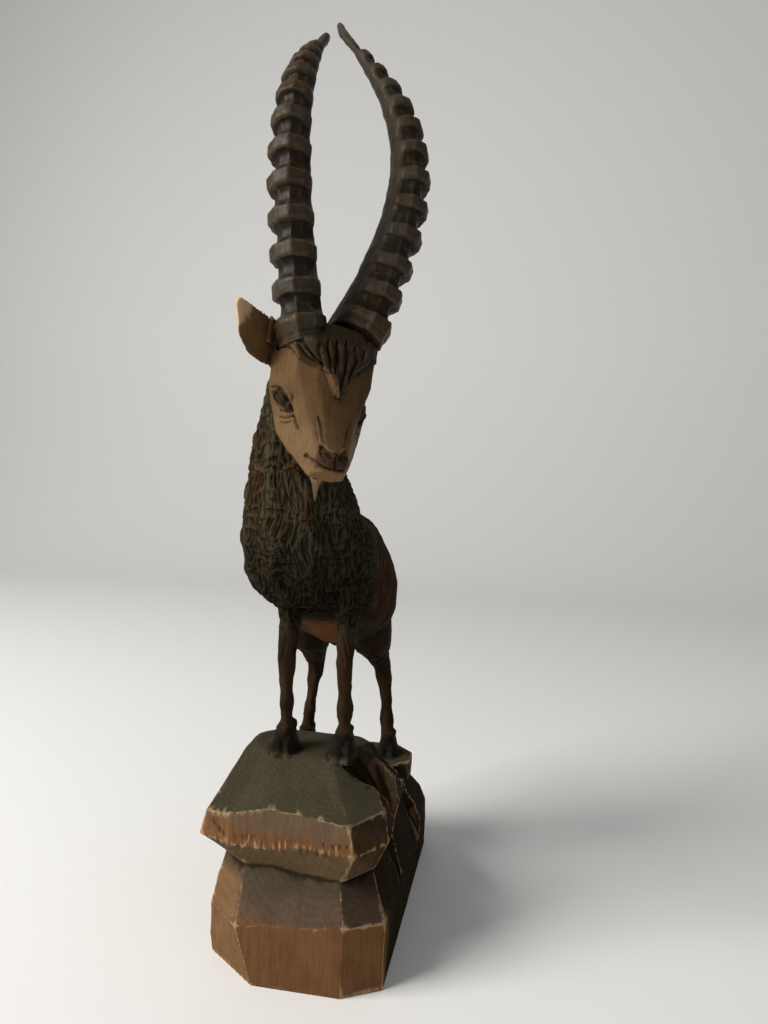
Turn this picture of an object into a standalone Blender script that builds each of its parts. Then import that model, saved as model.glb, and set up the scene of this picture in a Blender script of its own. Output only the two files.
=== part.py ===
"""A carved wooden ibex on a knife-cut rock, with two ridged horns glued into its skull.

The animal and its rock are one block of wood. Each horn is carved on its own and has a round
tenon at its root, which sits in a socket in the skull. X is across the block, Y runs back from
the front face, Z is up. The origin is the middle of the underside. All sizes are in metres.
"""
import math

import bmesh
import bpy
from mathutils import Matrix, Vector

# Rock: the block, its split lower face, the undercut waist, the ledge and the plateau
ROCK_WIDTH = 0.078
ROCK_LENGTH = 0.144
SPLIT_FACE_HEIGHT = 0.0255
WAIST_HEIGHT = 0.0445
WAIST_DEPTH = 0.011
LEDGE_EDGE_RISE = 0.012
LEDGE_BAND = 0.0125
PLATEAU_HEIGHT = 0.0875
PLATEAU_WIDTH = 0.056
REAR_STEP_HEIGHT = 0.034
HIND_STEP_HEIGHT = 0.0575
SCOOP_RADIUS = 0.0135
FLUTE_RADIUS = 0.0105

# Stance: where the hooves stand, and how long the legs are below the trunk
FRONT_HOOF_Y = -0.038
HIND_HOOF_Y = 0.045
STANCE_CENTRE_X = 0.0008
FRONT_HOOF_SPACING = 0.0268
HIND_HOOF_SPACING = 0.0465
FRONT_LEG_LENGTH = 0.068
HIND_LEG_LENGTH = 0.060
LEG_THICKNESS = 0.0056
HOOF_WIDTH = 0.0118
HOOF_LENGTH = 0.0155
HOOF_SINK = 0.0012

# Trunk and neck
TRUNK_CENTRE_X = -0.0035
TRUNK_WIDTH = 0.060
TRUNK_TAPER = 0.20
CHEST_OVERHANG = 0.012
RUMP_OVERHANG = 0.019
CHEST_DEPTH = 0.055
RUMP_DEPTH = 0.070
NECK_HEIGHT = 0.060
NECK_WIDTH = 0.042
MANE_RELIEF = 0.045
TAIL_LENGTH = 0.017

# Head: it is turned to the animal's left and tilted
HEAD_TURN = math.radians(36)
HEAD_TILT = math.radians(9)
HEAD_SIDE_SHIFT = 0.0091
HEAD_FORWARD = 0.007
HEAD_LENGTH = 0.061
SKULL_WIDTH = 0.043
EYE_RADIUS = 0.0043
EAR_LENGTH = 0.0265
EAR_HEIGHT = 0.019
EAR_THICKNESS = 0.0030
NOSTRIL_RADIUS = 0.0017
MOUTH_GAP = 0.0009
MOUTH_DEPTH = 0.0024
BEARD_LENGTH = 0.011
FORELOCK_THICKNESS = 0.0040

# Horns
HORN_HEIGHT = 0.165
HORN_SPREAD = 0.0377
HORN_SWEEP = 0.0725
HORN_ROOT_SPACING = 0.0215
HORN_ROOT_THICKNESS = 0.0188
HORN_ROOT_DEPTH = 0.0305
ROOT_FLARE = 0.13
HORN_TWIST = math.radians(21)
HORN_STEP = 0.0038
KNOB_COUNT = 12
KNOB_RELIEF = 0.0021
TENON_RADIUS = 0.0040
TENON_LENGTH = 0.009
SEAT_MARGIN = 0.0010
ROOT_DROP = 0.0030
SEAT_TILT = math.radians(10)
SMOOTH_TIP_LENGTH = 0.023
TIP_THICKNESS = 0.0028
TIP_DEPTH = 0.0040
GLUE_GAP = 0.0003

# How far the front edge of a level of the rock rises at its six points, left to right
FLAT_FRONT = (0.0, 0.0, 0.0, 0.0, 0.0, 0.0)
SPLIT_RISES = (-0.0015, -0.0015, 0.0010, 0.0015, 0.0038, 0.0034)
WAIST_RISES = (0.0030, 0.0005, 0.0015, -0.0008, -0.0018, -0.0010)
LIP_RISES = (0.0010, -0.0008, -0.0010, 0.0020, -0.0008, 0.0010)
BROW_RISES = (-0.0030, -0.0004, 0.0030, 0.0022, -0.0008, 0.0012)

X = Vector((1.0, 0.0, 0.0))
Y = Vector((0.0, 1.0, 0.0))
Z = Vector((0.0, 0.0, 1.0))


def mix(low, high, share):
    """The value at a share of the way from low to high."""
    return low + (high - low) * share


def material(name, colour, roughness):
    """A stained wood material."""
    wood = bpy.data.materials.new(name)
    wood.use_nodes = True
    shader = wood.node_tree.nodes["Principled BSDF"]
    shader.inputs["Base Color"].default_value = (*colour, 1.0)
    shader.inputs["Roughness"].default_value = roughness
    shader.inputs["Metallic"].default_value = 0.0
    wood.diffuse_color = (*colour, 1.0)
    return wood


def add_object(name, mesh):
    """Put a mesh into the scene as a named object."""
    thing = bpy.data.objects.new(name, mesh)
    bpy.context.scene.collection.objects.link(thing)
    return thing


def loft(name, rings):
    """A closed solid through rings of points, faceted with triangles like knife cuts."""
    shape = bmesh.new()
    rows = [[shape.verts.new(point) for point in ring] for ring in rings]
    count = len(rows[0])
    for lower, upper in zip(rows, rows[1:]):
        for step in range(count):
            following = (step + 1) % count
            shape.faces.new((lower[step], lower[following], upper[step]))
            shape.faces.new((lower[following], upper[following], upper[step]))
    shape.faces.new(list(reversed(rows[0])))
    shape.faces.new(rows[-1])
    bmesh.ops.triangulate(shape, faces=[face for face in shape.faces if len(face.verts) > 3])
    bmesh.ops.recalc_face_normals(shape, faces=shape.faces)
    mesh = bpy.data.meshes.new(name)
    shape.to_mesh(mesh)
    shape.free()
    return add_object(name, mesh)


def oval(centre, across, along, half_across, half_along, count, turn=0.0, relief=0.0):
    """A ring round a centre. Relief lifts every second point, which leaves chiselled tufts."""
    points = []
    for step in range(count):
        angle = 2.0 * math.pi * (step + turn) / count
        lift = 1.0 + relief * (1 if step % 2 == 0 else -1)
        points.append(
            centre
            + across * (half_across * lift * math.cos(angle))
            + along * (half_along * lift * math.sin(angle))
        )
    return points


def as_guide(thing):
    """Mark an object that only joins or cuts another one."""
    thing.hide_render = True
    thing.display_type = "WIRE"
    return thing


def combine(target, guide, operation):
    """Join a guide to the target, or cut it away, by an exact Boolean."""
    change = target.modifiers.new(guide.name, "BOOLEAN")
    change.operation = operation
    change.solver = "EXACT"
    change.object = as_guide(guide)


def join(target, guide):
    combine(target, guide, "UNION")


def cut(target, guide):
    combine(target, guide, "DIFFERENCE")


def ball(name, centre, radius, stretch=(1.0, 1.0, 1.0), subdivisions=2):
    """A faceted ball, for eyes and for gouge cuts."""
    shape = bmesh.new()
    bmesh.ops.create_icosphere(shape, subdivisions=subdivisions, radius=radius)
    bmesh.ops.scale(shape, vec=Vector(stretch), verts=shape.verts)
    bmesh.ops.translate(shape, vec=centre, verts=shape.verts)
    mesh = bpy.data.meshes.new(name)
    shape.to_mesh(mesh)
    shape.free()
    return add_object(name, mesh)


def bar(name, low_end, high_end, radius, sides=12, turn=0.5):
    """A straight bar with flat sides between two points, used for tenons, sockets and flutes."""
    axis = (high_end - low_end).normalized()
    across = axis.orthogonal().normalized()
    along = axis.cross(across)
    rings = [oval(end, across, along, radius, radius, sides, turn) for end in (low_end, high_end)]
    return loft(name, rings)


def rock_level(
    height, left, right, front, back, near_left, near_right, far_cut, far_right=None, rises=FLAT_FRONT
):
    """One level of the rock: a rectangle with its corners cut off, whose front edge rises and falls."""
    middle = (front + back) / 2
    far_right = right if far_right is None else far_right
    front_left = left + near_left[0]
    front_right = right - near_right[0]
    outline = (
        (left, front + near_left[1], rises[0]),
        (front_left, front, rises[1]),
        (mix(front_left, front_right, 0.30), front, rises[2]),
        (mix(front_left, front_right, 0.60), front, rises[3]),
        (front_right, front, rises[4]),
        (right, front + near_right[1], rises[5]),
        (mix(right, far_right, 0.6), middle, 0.0),
        (far_right, back - far_cut, 0.0),
        (far_right - far_cut, back, 0.0),
        (left + far_cut, back, 0.0),
        (left, back - far_cut, 0.0),
        (left, middle, 0.0),
    )
    return [Vector((x, y, height + rise)) for x, y, rise in outline]


def between(low, high, height):
    """The level of the rock at a height between two given levels, point by point."""
    rear = len(low) - 1
    share = (height - low[rear].z) / (high[rear].z - low[rear].z)
    return [lower.lerp(upper, share) for lower, upper in zip(low, high)]


def with_back(level, back):
    """The same level with its rear edge moved: its two rear corners and their cuts."""
    shift = back - max(point.y for point in level)
    return [point + Y * shift if point.y > 0 else point.copy() for point in level]


def make_rock():
    """The rock as one loft of levels from the sawn underside up to the plateau."""
    half = ROCK_WIDTH / 2
    front = -ROCK_LENGTH / 2
    back = ROCK_LENGTH / 2
    ledge_low = WAIST_HEIGHT + LEDGE_EDGE_RISE
    ledge_high = ledge_low + LEDGE_BAND
    slope_top = mix(ledge_high, PLATEAU_HEIGHT, 0.40)
    waist_front = front + WAIST_DEPTH
    hind_back = HIND_HOOF_Y + HOOF_LENGTH
    plateau_left = STANCE_CENTRE_X - PLATEAU_WIDTH * 0.57
    plateau_right = STANCE_CENTRE_X + PLATEAU_WIDTH * 0.41
    plateau_front = FRONT_HOOF_Y - HOOF_LENGTH * 0.62
    plateau_back = FRONT_HOOF_Y + HOOF_LENGTH * 1.75
    foot = rock_level(0.0, -half, half, front, back, (0.024, 0.018), (0.016, 0.009), 0.006)
    split = rock_level(
        SPLIT_FACE_HEIGHT, -half, half, front, back, (0.017, 0.015), (0.015, 0.008), 0.006, None, SPLIT_RISES
    )
    waist = rock_level(
        WAIST_HEIGHT, -half * 0.87, half * 0.80, waist_front, back - 0.006, (0.012, 0.010), (0.012, 0.012), 0.010,
        None, WAIST_RISES,
    )
    under = rock_level(
        WAIST_HEIGHT + 0.0015, -half * 0.89, half * 0.82, waist_front - 0.0015, back - 0.009,
        (0.012, 0.010), (0.011, 0.011), 0.010, None, WAIST_RISES,
    )
    lip = rock_level(
        ledge_low, -half * 1.07, half * 0.98, front + 0.006, back - 0.012, (0.013, 0.003), (0.012, 0.013), 0.010,
        half * 0.84, LIP_RISES,
    )
    brow = rock_level(
        ledge_high, -half * 1.04, half * 0.92, front + 0.0065, back - 0.015, (0.013, 0.006), (0.012, 0.014), 0.010,
        half * 0.80, BROW_RISES,
    )
    slope = rock_level(
        slope_top, mix(-half * 0.95, plateau_left, 0.30), mix(half * 0.80, plateau_right, 0.4),
        mix(front + 0.010, plateau_front, 0.25), back - 0.02, (0.014, 0.013), (0.013, 0.013), 0.010, half * 0.72,
    )
    plateau = rock_level(
        PLATEAU_HEIGHT - 0.0015, plateau_left, plateau_right, plateau_front, plateau_back,
        (0.012, 0.011), (0.012, 0.010), 0.007,
    )
    top = rock_level(
        PLATEAU_HEIGHT, plateau_left + 0.003, plateau_right - 0.003, plateau_front + 0.003, plateau_back - 0.003,
        (0.010, 0.010), (0.010, 0.009), 0.006,
    )
    step_front = mix(FRONT_HOOF_Y, HIND_HOOF_Y, 0.66)
    levels = [foot]
    if SPLIT_FACE_HEIGHT < REAR_STEP_HEIGHT < WAIST_HEIGHT:
        rear = with_back(between(split, waist, REAR_STEP_HEIGHT), back)
        levels += [split, rear]
    else:
        levels += [split]
    levels += [with_back(waist, back - 0.009), with_back(under, back - 0.0095)]
    crag = [under, lip, brow, slope]
    outline = {HIND_STEP_HEIGHT: hind_back, HIND_STEP_HEIGHT + 0.0012: step_front}
    for height in (ledge_low, ledge_high, slope_top):
        past = height > HIND_STEP_HEIGHT + 0.0012
        reach = mix(step_front, plateau_back, (height - HIND_STEP_HEIGHT) / (PLATEAU_HEIGHT - HIND_STEP_HEIGHT))
        outline[height] = reach if past else hind_back
    for height in sorted(outline):
        for low, high in zip(crag, crag[1:]):
            if low[-1].z < height <= high[-1].z:
                levels.append(with_back(between(low, high, height), outline[height]))
    levels += [plateau, top]
    return loft("ibex_on_rock", levels)


# Leg sections from the sole up: share of the leg's length, half width and half depth as
# multiples of the leg's thickness, and how far the section sits back of the hoof
FRONT_LEG_SECTIONS = (
    (0.10, 0.70, 0.95, 0.02),
    (0.19, 0.47, 0.60, 0.03),
    (0.29, 0.64, 0.78, 0.02),
    (0.38, 0.55, 0.62, 0.01),
    (0.53, 0.56, 0.64, 0.00),
    (0.61, 0.77, 0.84, -0.02),
    (0.69, 0.78, 0.86, -0.01),
    (0.78, 0.80, 0.98, 0.01),
    (0.93, 1.05, 1.45, 0.05),
    (1.12, 1.45, 2.20, 0.10),
    (1.45, 1.50, 2.40, 0.16),
)
HIND_LEG_SECTIONS = (
    (0.12, 0.66, 0.95, 0.03),
    (0.22, 0.62, 0.68, 0.05),
    (0.30, 0.69, 0.78, 0.07),
    (0.40, 0.55, 0.64, 0.10),
    (0.52, 0.56, 0.66, 0.14),
    (0.64, 0.80, 0.94, 0.19),
    (0.76, 0.90, 1.15, 0.18),
    (0.86, 1.10, 1.70, 0.10),
    (0.97, 1.70, 2.50, -0.02),
    (1.15, 2.10, 3.10, -0.10),
    (1.55, 2.05, 3.20, -0.12),
)


def make_leg(name, foot, top_x, length, sections):
    """A leg from above the hoof up into the trunk, leaning from its foot towards top_x."""
    rings = []
    for number, (rise, half_width, half_depth, setback) in enumerate(sections):
        lean = min(rise, 1.0) ** 1.6
        centre = Vector((mix(foot.x, top_x, lean), foot.y + setback * length, foot.z + rise * length))
        rings.append(
            oval(centre, X, Y, half_width * LEG_THICKNESS, half_depth * LEG_THICKNESS, 8, 0.5 * (number % 2))
        )
    return loft(name, rings)


def make_toe(name, foot, side):
    """One of a hoof's two toes: blunt, splayed outwards, higher at its front face."""
    width = HOOF_WIDTH / 2
    height = HOOF_LENGTH * 0.62
    outward = X * side
    outline = (
        (0.00, -0.52, 0.0), (0.62, -0.60, 0.0), (1.00, -0.30, 0.0), (0.98, 0.36, 0.0), (0.10, 0.40, 0.0),
    )
    top = (
        (0.00, -0.22, 0.86), (0.50, -0.26, 0.86), (0.66, -0.05, 0.92), (0.62, 0.30, 1.0), (0.05, 0.34, 1.0),
    )
    rings = []
    for row in (outline, top):
        ring = []
        for across, along, rise in row:
            x = (across + 0.035) * width
            ring.append(foot + outward * x + Y * (along * HOOF_LENGTH) + Z * (rise * height))
        rings.append(ring)
    return loft(name, rings)


def make_hoof(carving, name, foot):
    """Two toes, a pastern bridge over the cleft and two dewclaws behind."""
    sunk = foot - Z * HOOF_SINK
    for side, word in ((-1, "outer"), (1, "inner")):
        join(carving, make_toe(name + "_" + word + "_toe", sunk, side))
        claw = foot + X * (side * LEG_THICKNESS * 0.42) + Y * (LEG_THICKNESS * 0.80) + Z * (HOOF_LENGTH * 0.68)
        join(carving, ball(name + "_" + word + "_dewclaw", claw, HOOF_WIDTH * 0.15, (1, 1.2, 1.5), 1))
    low = foot + Z * (HOOF_LENGTH * 0.34)
    high = foot + Z * (HOOF_LENGTH * 0.72)
    rings = [
        oval(low, X, Y, HOOF_WIDTH * 0.30, HOOF_LENGTH * 0.26, 8),
        oval(high, X, Y, LEG_THICKNESS * 0.62, LEG_THICKNESS * 0.80, 8, 0.5),
    ]
    join(carving, loft(name + "_pastern", rings))


def make_legs(carving):
    """Four legs with their hooves, standing on the plateau and on the lower step behind."""
    stands = (
        ("right_front", -1, FRONT_HOOF_SPACING, FRONT_HOOF_Y, PLATEAU_HEIGHT, FRONT_LEG_LENGTH, 0.001),
        ("left_front", 1, FRONT_HOOF_SPACING, FRONT_HOOF_Y, PLATEAU_HEIGHT, FRONT_LEG_LENGTH, 0.000),
        ("right_hind", -1, HIND_HOOF_SPACING, HIND_HOOF_Y, HIND_STEP_HEIGHT, HIND_LEG_LENGTH, 0.003),
        ("left_hind", 1, HIND_HOOF_SPACING, HIND_HOOF_Y, HIND_STEP_HEIGHT, HIND_LEG_LENGTH, 0.010),
    )
    for name, side, spacing, foot_y, foot_z, length, draw_in in stands:
        centre_x = STANCE_CENTRE_X if foot_y == FRONT_HOOF_Y else TRUNK_CENTRE_X
        foot = Vector((centre_x + side * spacing / 2, foot_y, foot_z))
        top_x = foot.x - side * draw_in
        sections = FRONT_LEG_SECTIONS if foot_y == FRONT_HOOF_Y else HIND_LEG_SECTIONS
        join(carving, make_leg(name + "_leg", foot, top_x, length, sections))
        make_hoof(carving, name + "_hoof", foot)


# Trunk sections from the breast to the rump: share of the trunk's length, half width as a
# share, how far the underside is lifted and the top dropped as shares of the depth
TRUNK_SECTIONS = (
    (0.00, 0.46, 0.26, 0.30),
    (0.06, 0.82, 0.12, 0.13),
    (0.15, 1.00, 0.03, 0.02),
    (0.29, 1.00, 0.02, 0.03),
    (0.44, 1.00, 0.00, 0.06),
    (0.60, 0.97, -0.02, 0.05),
    (0.75, 0.91, -0.01, 0.02),
    (0.88, 0.80, 0.05, 0.03),
    (0.96, 0.56, 0.20, 0.16),
    (1.00, 0.30, 0.34, 0.34),
)


def trunk_frame(share):
    """Where the trunk's underside and top lie at a share of its length."""
    front = FRONT_HOOF_Y - CHEST_OVERHANG
    back = HIND_HOOF_Y + RUMP_OVERHANG
    chest_under = PLATEAU_HEIGHT + FRONT_LEG_LENGTH
    rump_under = HIND_STEP_HEIGHT + HIND_LEG_LENGTH
    under = mix(chest_under, rump_under, min(1.0, share * 1.35))
    top = mix(chest_under + CHEST_DEPTH, rump_under + RUMP_DEPTH, share)
    return mix(front, back, share), under, top


def make_trunk(carving):
    """The trunk, deep at the belly and falling towards the rump."""
    rings = []
    for number, (share, half_width, lift, drop) in enumerate(TRUNK_SECTIONS):
        y, under, top = trunk_frame(share)
        depth = top - under
        low = under + lift * depth
        high = top - drop * depth
        centre = Vector((mix(TRUNK_CENTRE_X - 0.003, TRUNK_CENTRE_X, min(1.0, share * 2)), y, (low + high) / 2))
        ring = oval(Vector(), X, Z, half_width * TRUNK_WIDTH / 2, (high - low) / 2, 16, 0.5 * (number % 2), 0.008)
        for point in ring:
            point.x *= 1.0 - TRUNK_TAPER * point.z / (high - low) * 2
        rings.append([centre + point for point in ring])
    join(carving, loft("trunk", rings))


def head_matrix():
    """The head's own frame: X to the animal's left, Y to the back of its head, Z up."""
    across = Vector((math.cos(HEAD_TURN), math.sin(HEAD_TURN), 0.0))
    back = Vector((-math.sin(HEAD_TURN), math.cos(HEAD_TURN), 0.0))
    side = across * math.cos(HEAD_TILT) - Z * math.sin(HEAD_TILT)
    up = across * math.sin(HEAD_TILT) + Z * math.cos(HEAD_TILT)
    withers = PLATEAU_HEIGHT + FRONT_LEG_LENGTH + CHEST_DEPTH
    place = Vector((TRUNK_CENTRE_X + HEAD_SIDE_SHIFT, FRONT_HOOF_Y - HEAD_FORWARD, withers + NECK_HEIGHT))
    turn = Matrix((side, back, up)).transposed().to_4x4()
    return Matrix.Translation(place) @ turn


# Neck sections from the chest up to the skull: share of the way, half width and half depth as
# shares of the neck's width, sideways and backward offsets as shares of it
NECK_SECTIONS = (
    (-0.72, 0.40, 0.40, -0.070, 0.22),
    (-0.655, 0.51, 0.50, -0.070, 0.22),
    (-0.535, 0.62, 0.60, -0.090, 0.20),
    (-0.38, 0.667, 0.65, -0.102, 0.18),
    (-0.23, 0.626, 0.64, -0.126, 0.17),
    (-0.095, 0.562, 0.60, -0.155, 0.16),
    (0.04, 0.490, 0.55, -0.193, 0.15),
    (0.24, 0.446, 0.49, -0.236, 0.13),
    (0.46, 0.405, 0.46, -0.215, 0.12),
    (0.66, 0.390, 0.44, -0.200, 0.12),
    (0.86, 0.34, 0.38, -0.20, 0.12),
    (0.97, 0.24, 0.26, -0.18, 0.14),
)


def make_neck(carving, head):
    """The thick neck with its tufted mane, from the chest up into the skull."""
    withers = PLATEAU_HEIGHT + FRONT_LEG_LENGTH + CHEST_DEPTH
    foot = Vector((TRUNK_CENTRE_X, FRONT_HOOF_Y, withers))
    crown = head.to_translation()
    rings = []
    for number, (share, half_width, half_depth, sideways, backward) in enumerate(NECK_SECTIONS):
        if share < 0:
            centre = foot + Z * (share * CHEST_DEPTH * 1.45)
        else:
            centre = foot.lerp(crown, share)
        centre += X * (sideways * NECK_WIDTH) + Y * (backward * NECK_WIDTH)
        rings.append(
            oval(centre, X, Y, half_width * NECK_WIDTH, half_depth * NECK_WIDTH, 20, 0.5 * (number % 2), MANE_RELIEF)
        )
    join(carving, loft("neck", rings))


# Head sections from the crown to the lips, as shares of the head's length: the front midline
# (back, up), the rear midline (back, up), and the half widths of the bridge and of the cheeks
# as shares of the skull's
HEAD_SECTIONS = (
    ((0.03, 0.05), (0.22, 0.02), 0.50, 0.50),
    ((-0.19, 0.00), (0.33, -0.13), 0.92, 0.92),
    ((-0.285, -0.14), (0.33, -0.31), 0.84, 0.98),
    ((-0.335, -0.33), (0.25, -0.46), 0.76, 1.01),
    ((-0.365, -0.49), (0.16, -0.60), 0.57, 0.97),
    ((-0.415, -0.68), (0.07, -0.770), 0.39, 0.83),
    ((-0.475, -0.80), (-0.06, -0.880), 0.31, 0.66),
    ((-0.522, -0.870), (-0.20, -0.965), 0.27, 0.50),
    ((-0.500, -0.965), (-0.34, -1.030), 0.20, 0.34),
)
# The outline of a head section: shares of the bridge and of the cheek across, and from front to rear
HEAD_OUTLINE = (
    (0.00, 0.00, 0.00), (0.52, 0.00, 0.02), (0.85, 0.10, 0.13), (0.00, 1.00, 0.60), (0.00, 0.86, 0.80),
    (0.00, 0.50, 0.97), (0.00, 0.00, 1.00), (0.00, -0.50, 0.97), (0.00, -0.86, 0.80), (0.00, -1.00, 0.60),
    (-0.85, -0.10, 0.13), (-0.52, 0.00, 0.02),
)


def head_point(head, across, back, up):
    """A point given in shares of the skull's half width and of the head's length."""
    return head @ Vector((across * SKULL_WIDTH / 2, back * HEAD_LENGTH, up * HEAD_LENGTH))


def make_skull(carving, head):
    """The head as flat knife facets, wide at the brow and narrow at the lips."""
    rings = []
    for front, rear, bridge, cheek in HEAD_SECTIONS:
        ring = []
        for on_bridge, on_cheek, share in HEAD_OUTLINE:
            back = mix(front[0], rear[0], share)
            up = mix(front[1], rear[1], share)
            ring.append(head_point(head, on_bridge * bridge + on_cheek * cheek, back, up))
        rings.append(ring)
    join(carving, loft("skull", rings))


def make_eye(carving, head, side, name):
    """A slanting almond rim, hollowed out, with the eyeball set in it and a tear groove before it."""
    centre = head_point(head, side * 0.80, -0.135, -0.53)
    rear = head_point(head, side * 0.90, 0.02, -0.43)
    front = head_point(head, side * 0.64, -0.215, -0.63)
    slant = (front - rear).normalized()
    outward = (head.to_3x3() @ Vector((side * 0.94, -0.34, 0.0))).normalized()
    outward = (outward - slant * outward.dot(slant)).normalized()
    turn = Matrix((slant, outward.cross(slant), outward)).transposed().to_4x4()
    for word, size, stretch, operation in (
        ("rim", 1.0, (1.65, 0.98, 0.62), "UNION"),
        ("hollow", 1.0, (1.45, 0.78, 0.66), "DIFFERENCE"),
        ("ball", 0.74, (1.0, 1.0, 1.0), "UNION"),
    ):
        place = centre
        if word == "hollow":
            place = centre + outward * (EYE_RADIUS * 0.42)
        if word == "ball":
            place = centre - outward * (EYE_RADIUS * 0.22) - slant * (EYE_RADIUS * 0.15)
        guide = ball(name + "_eye_" + word, Vector(), EYE_RADIUS * size, stretch, 2)
        guide.data.transform(Matrix.Translation(place) @ turn)
        combine(carving, guide, operation)


# Ear sections from the skull to the tip: share of its length, how far the leaf reaches above
# and below its middle line as shares of its height
EAR_SECTIONS = ((0.0, 0.40, 0.60), (0.25, 0.36, 0.74), (0.50, 0.24, 0.80), (0.75, 0.14, 0.66), (1.0, 0.04, 0.16))
# The leaf's outline: from its top edge down the hollow face and back up the rounded face, as
# shares of its half height and of its thickness
EAR_OUTLINE = (
    (1.0, 0.0), (0.5, 0.33), (0.1, 0.15), (-0.5, 0.36), (-1.0, 0.0), (-0.60, 1.0), (0.0, 1.25), (0.60, 1.0),
)


def make_ear(carving, head, name, side, tip, cup_forward):
    """A leaf-shaped ear, hollow on one face, from the skull out to its tip."""
    root = Vector((side * SKULL_WIDTH * 0.36, HEAD_LENGTH * 0.20, -HEAD_LENGTH * 0.13))
    along = (tip - root).normalized()
    upward = (Z - along * Z.dot(along)).normalized()
    hollow = along.cross(upward) * side * cup_forward
    rings = []
    for share, above, below in EAR_SECTIONS:
        centre = root.lerp(tip, share) + upward * ((above - below) / 2 * EAR_HEIGHT)
        half = (above + below) / 2 * EAR_HEIGHT
        thick = EAR_THICKNESS * (1.0 - 0.55 * share)
        ring = []
        for height, depth in EAR_OUTLINE:
            ring.append(head @ (centre + upward * (height * half) - hollow * (depth * thick)))
        rings.append(ring)
    join(carving, loft(name, rings))


def make_ears(carving, head):
    """The right ear stands out to the side, and the left one is laid back behind its horn."""
    reach = EAR_LENGTH
    right_tip = Vector((-SKULL_WIDTH * 0.36 - reach * 0.93, -reach * 0.17, reach * 0.10))
    left_tip = Vector((SKULL_WIDTH * 0.36 + reach * 0.42, HEAD_LENGTH * 0.20 + reach * 0.92, reach * 0.16))
    make_ear(carving, head, "right_ear", -1, right_tip, 1)
    make_ear(carving, head, "left_ear", 1, left_tip, -1)


def make_forelock(carving, head):
    """The tuft between the horns: five pointed strands that run down to the brow."""
    rings = []
    for back, up, half_width in (
        (0.10, 0.02, 0.80), (-0.14, -0.04, 0.86), (-0.265, -0.15, 0.66), (-0.325, -0.29, 0.34), (-0.365, -0.47, 0.06),
    ):
        ring = []
        strands = 10
        for step in range(strands + 1):
            across = mix(-half_width, half_width, step / strands)
            lift = FORELOCK_THICKNESS * (0.62 if step % 2 else 0.30)
            edge = 1.0 if 0 < step < strands else 0.0
            point = head_point(head, across, back, up)
            ring.append(point - (head.to_3x3() @ Y) * (lift * edge + 0.0004))
        for step in (strands, 0):
            across = mix(-half_width, half_width, step / strands)
            ring.append(head_point(head, across, back, up) + (head.to_3x3() @ Y) * FORELOCK_THICKNESS)
        rings.append(ring)
    join(carving, loft("forelock", rings))


# Beard sections from the chin down: across, back and up in the head, half width and half depth
BEARD_SECTIONS = (
    (0.00, -0.12, -0.78, 0.14, 0.12), (0.00, -0.19, -0.93, 0.13, 0.11), (0.05, -0.19, -1.02, 0.10, 0.09),
)


def make_muzzle(carving, head):
    """Nose pad, nostril cuts, mouth line and the short beard."""
    side_axis = head.to_3x3() @ X
    up_axis = head.to_3x3() @ Z
    back_axis = head.to_3x3() @ Y
    for side, name in ((-1, "right"), (1, "left")):
        low = head_point(head, side * 0.09, -0.545, -0.895)
        high = head_point(head, side * 0.30, -0.455, -0.820)
        cut(carving, bar(name + "_nostril", low, high, NOSTRIL_RADIUS, 6))
        inner = head_point(head, side * 0.52, -0.24, -0.880)
        outer = head_point(head, side * 0.08, -0.62, -0.945)
        line = (outer - inner).normalized()
        rings = [
            oval(end, up_axis, line.cross(up_axis).normalized(), MOUTH_GAP / 2, MOUTH_DEPTH, 4)
            for end in (inner, outer)
        ]
        cut(carving, loft(name + "_mouth", rings))
    rings = []
    for across, back, up, half_across, half_back in BEARD_SECTIONS:
        centre = head_point(head, across, back, up)
        rings.append(oval(centre, side_axis, back_axis, half_across * SKULL_WIDTH / 2, half_back * HEAD_LENGTH, 8))
    tip = head_point(head, 0.17, -0.13, -1.0) - up_axis * BEARD_LENGTH * 0.9
    rings.append(oval(tip, side_axis, back_axis, 0.0006, 0.0010, 8))
    join(carving, loft("beard", rings))


def horn_bezier(side, share):
    """A point and the direction of a horn's middle line at a share of its Bezier curve."""
    step = side * HORN_STEP
    points = (
        Vector((side * HORN_ROOT_SPACING / 2, 0.0, step)),
        Vector((side * HORN_SPREAD, HORN_SWEEP * 0.012, HORN_HEIGHT * 0.511)),
        Vector((side * HORN_SPREAD * 0.735, HORN_SWEEP * 0.205, HORN_HEIGHT * 0.667)),
        Vector((side * 0.0016, HORN_SWEEP, HORN_HEIGHT + step)),
    )
    rest = 1.0 - share
    place = (
        points[0] * rest ** 3
        + points[1] * (3 * rest ** 2 * share)
        + points[2] * (3 * rest * share ** 2)
        + points[3] * share ** 3
    )
    run = (
        (points[1] - points[0]) * rest ** 2
        + (points[2] - points[1]) * (2 * rest * share)
        + (points[3] - points[2]) * share ** 2
    )
    return place, run.normalized()


def horn_curve(side, share):
    """A point and the direction of a horn's middle line at a share of its length, in the head's frame."""
    samples = 48
    walk = [0.0]
    for number in range(samples):
        here = horn_bezier(side, number / samples)[0]
        there = horn_bezier(side, (number + 1) / samples)[0]
        walk.append(walk[-1] + (there - here).length)
    wanted = share * walk[-1]
    number = max(step for step in range(samples) if walk[step] <= wanted)
    part_way = (wanted - walk[number]) / (walk[number + 1] - walk[number])
    return horn_bezier(side, (number + part_way) / samples)


# The outline of a horn section in shares of its half width and half depth: outward, forward,
# and how much of the knobs' relief shows there. The inner side and the rear edge stay smooth
HORN_OUTLINE = (
    (0.18, 1.00, 1.0), (0.72, 0.72, 1.0), (1.00, 0.20, 1.0), (0.90, -0.35, 0.7), (0.50, -0.85, 0.3),
    (0.00, -1.00, 0.0), (-0.55, -0.75, 0.0), (-0.88, -0.20, 0.0), (-0.92, 0.35, 0.4), (-0.45, 0.85, 0.9),
)
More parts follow.
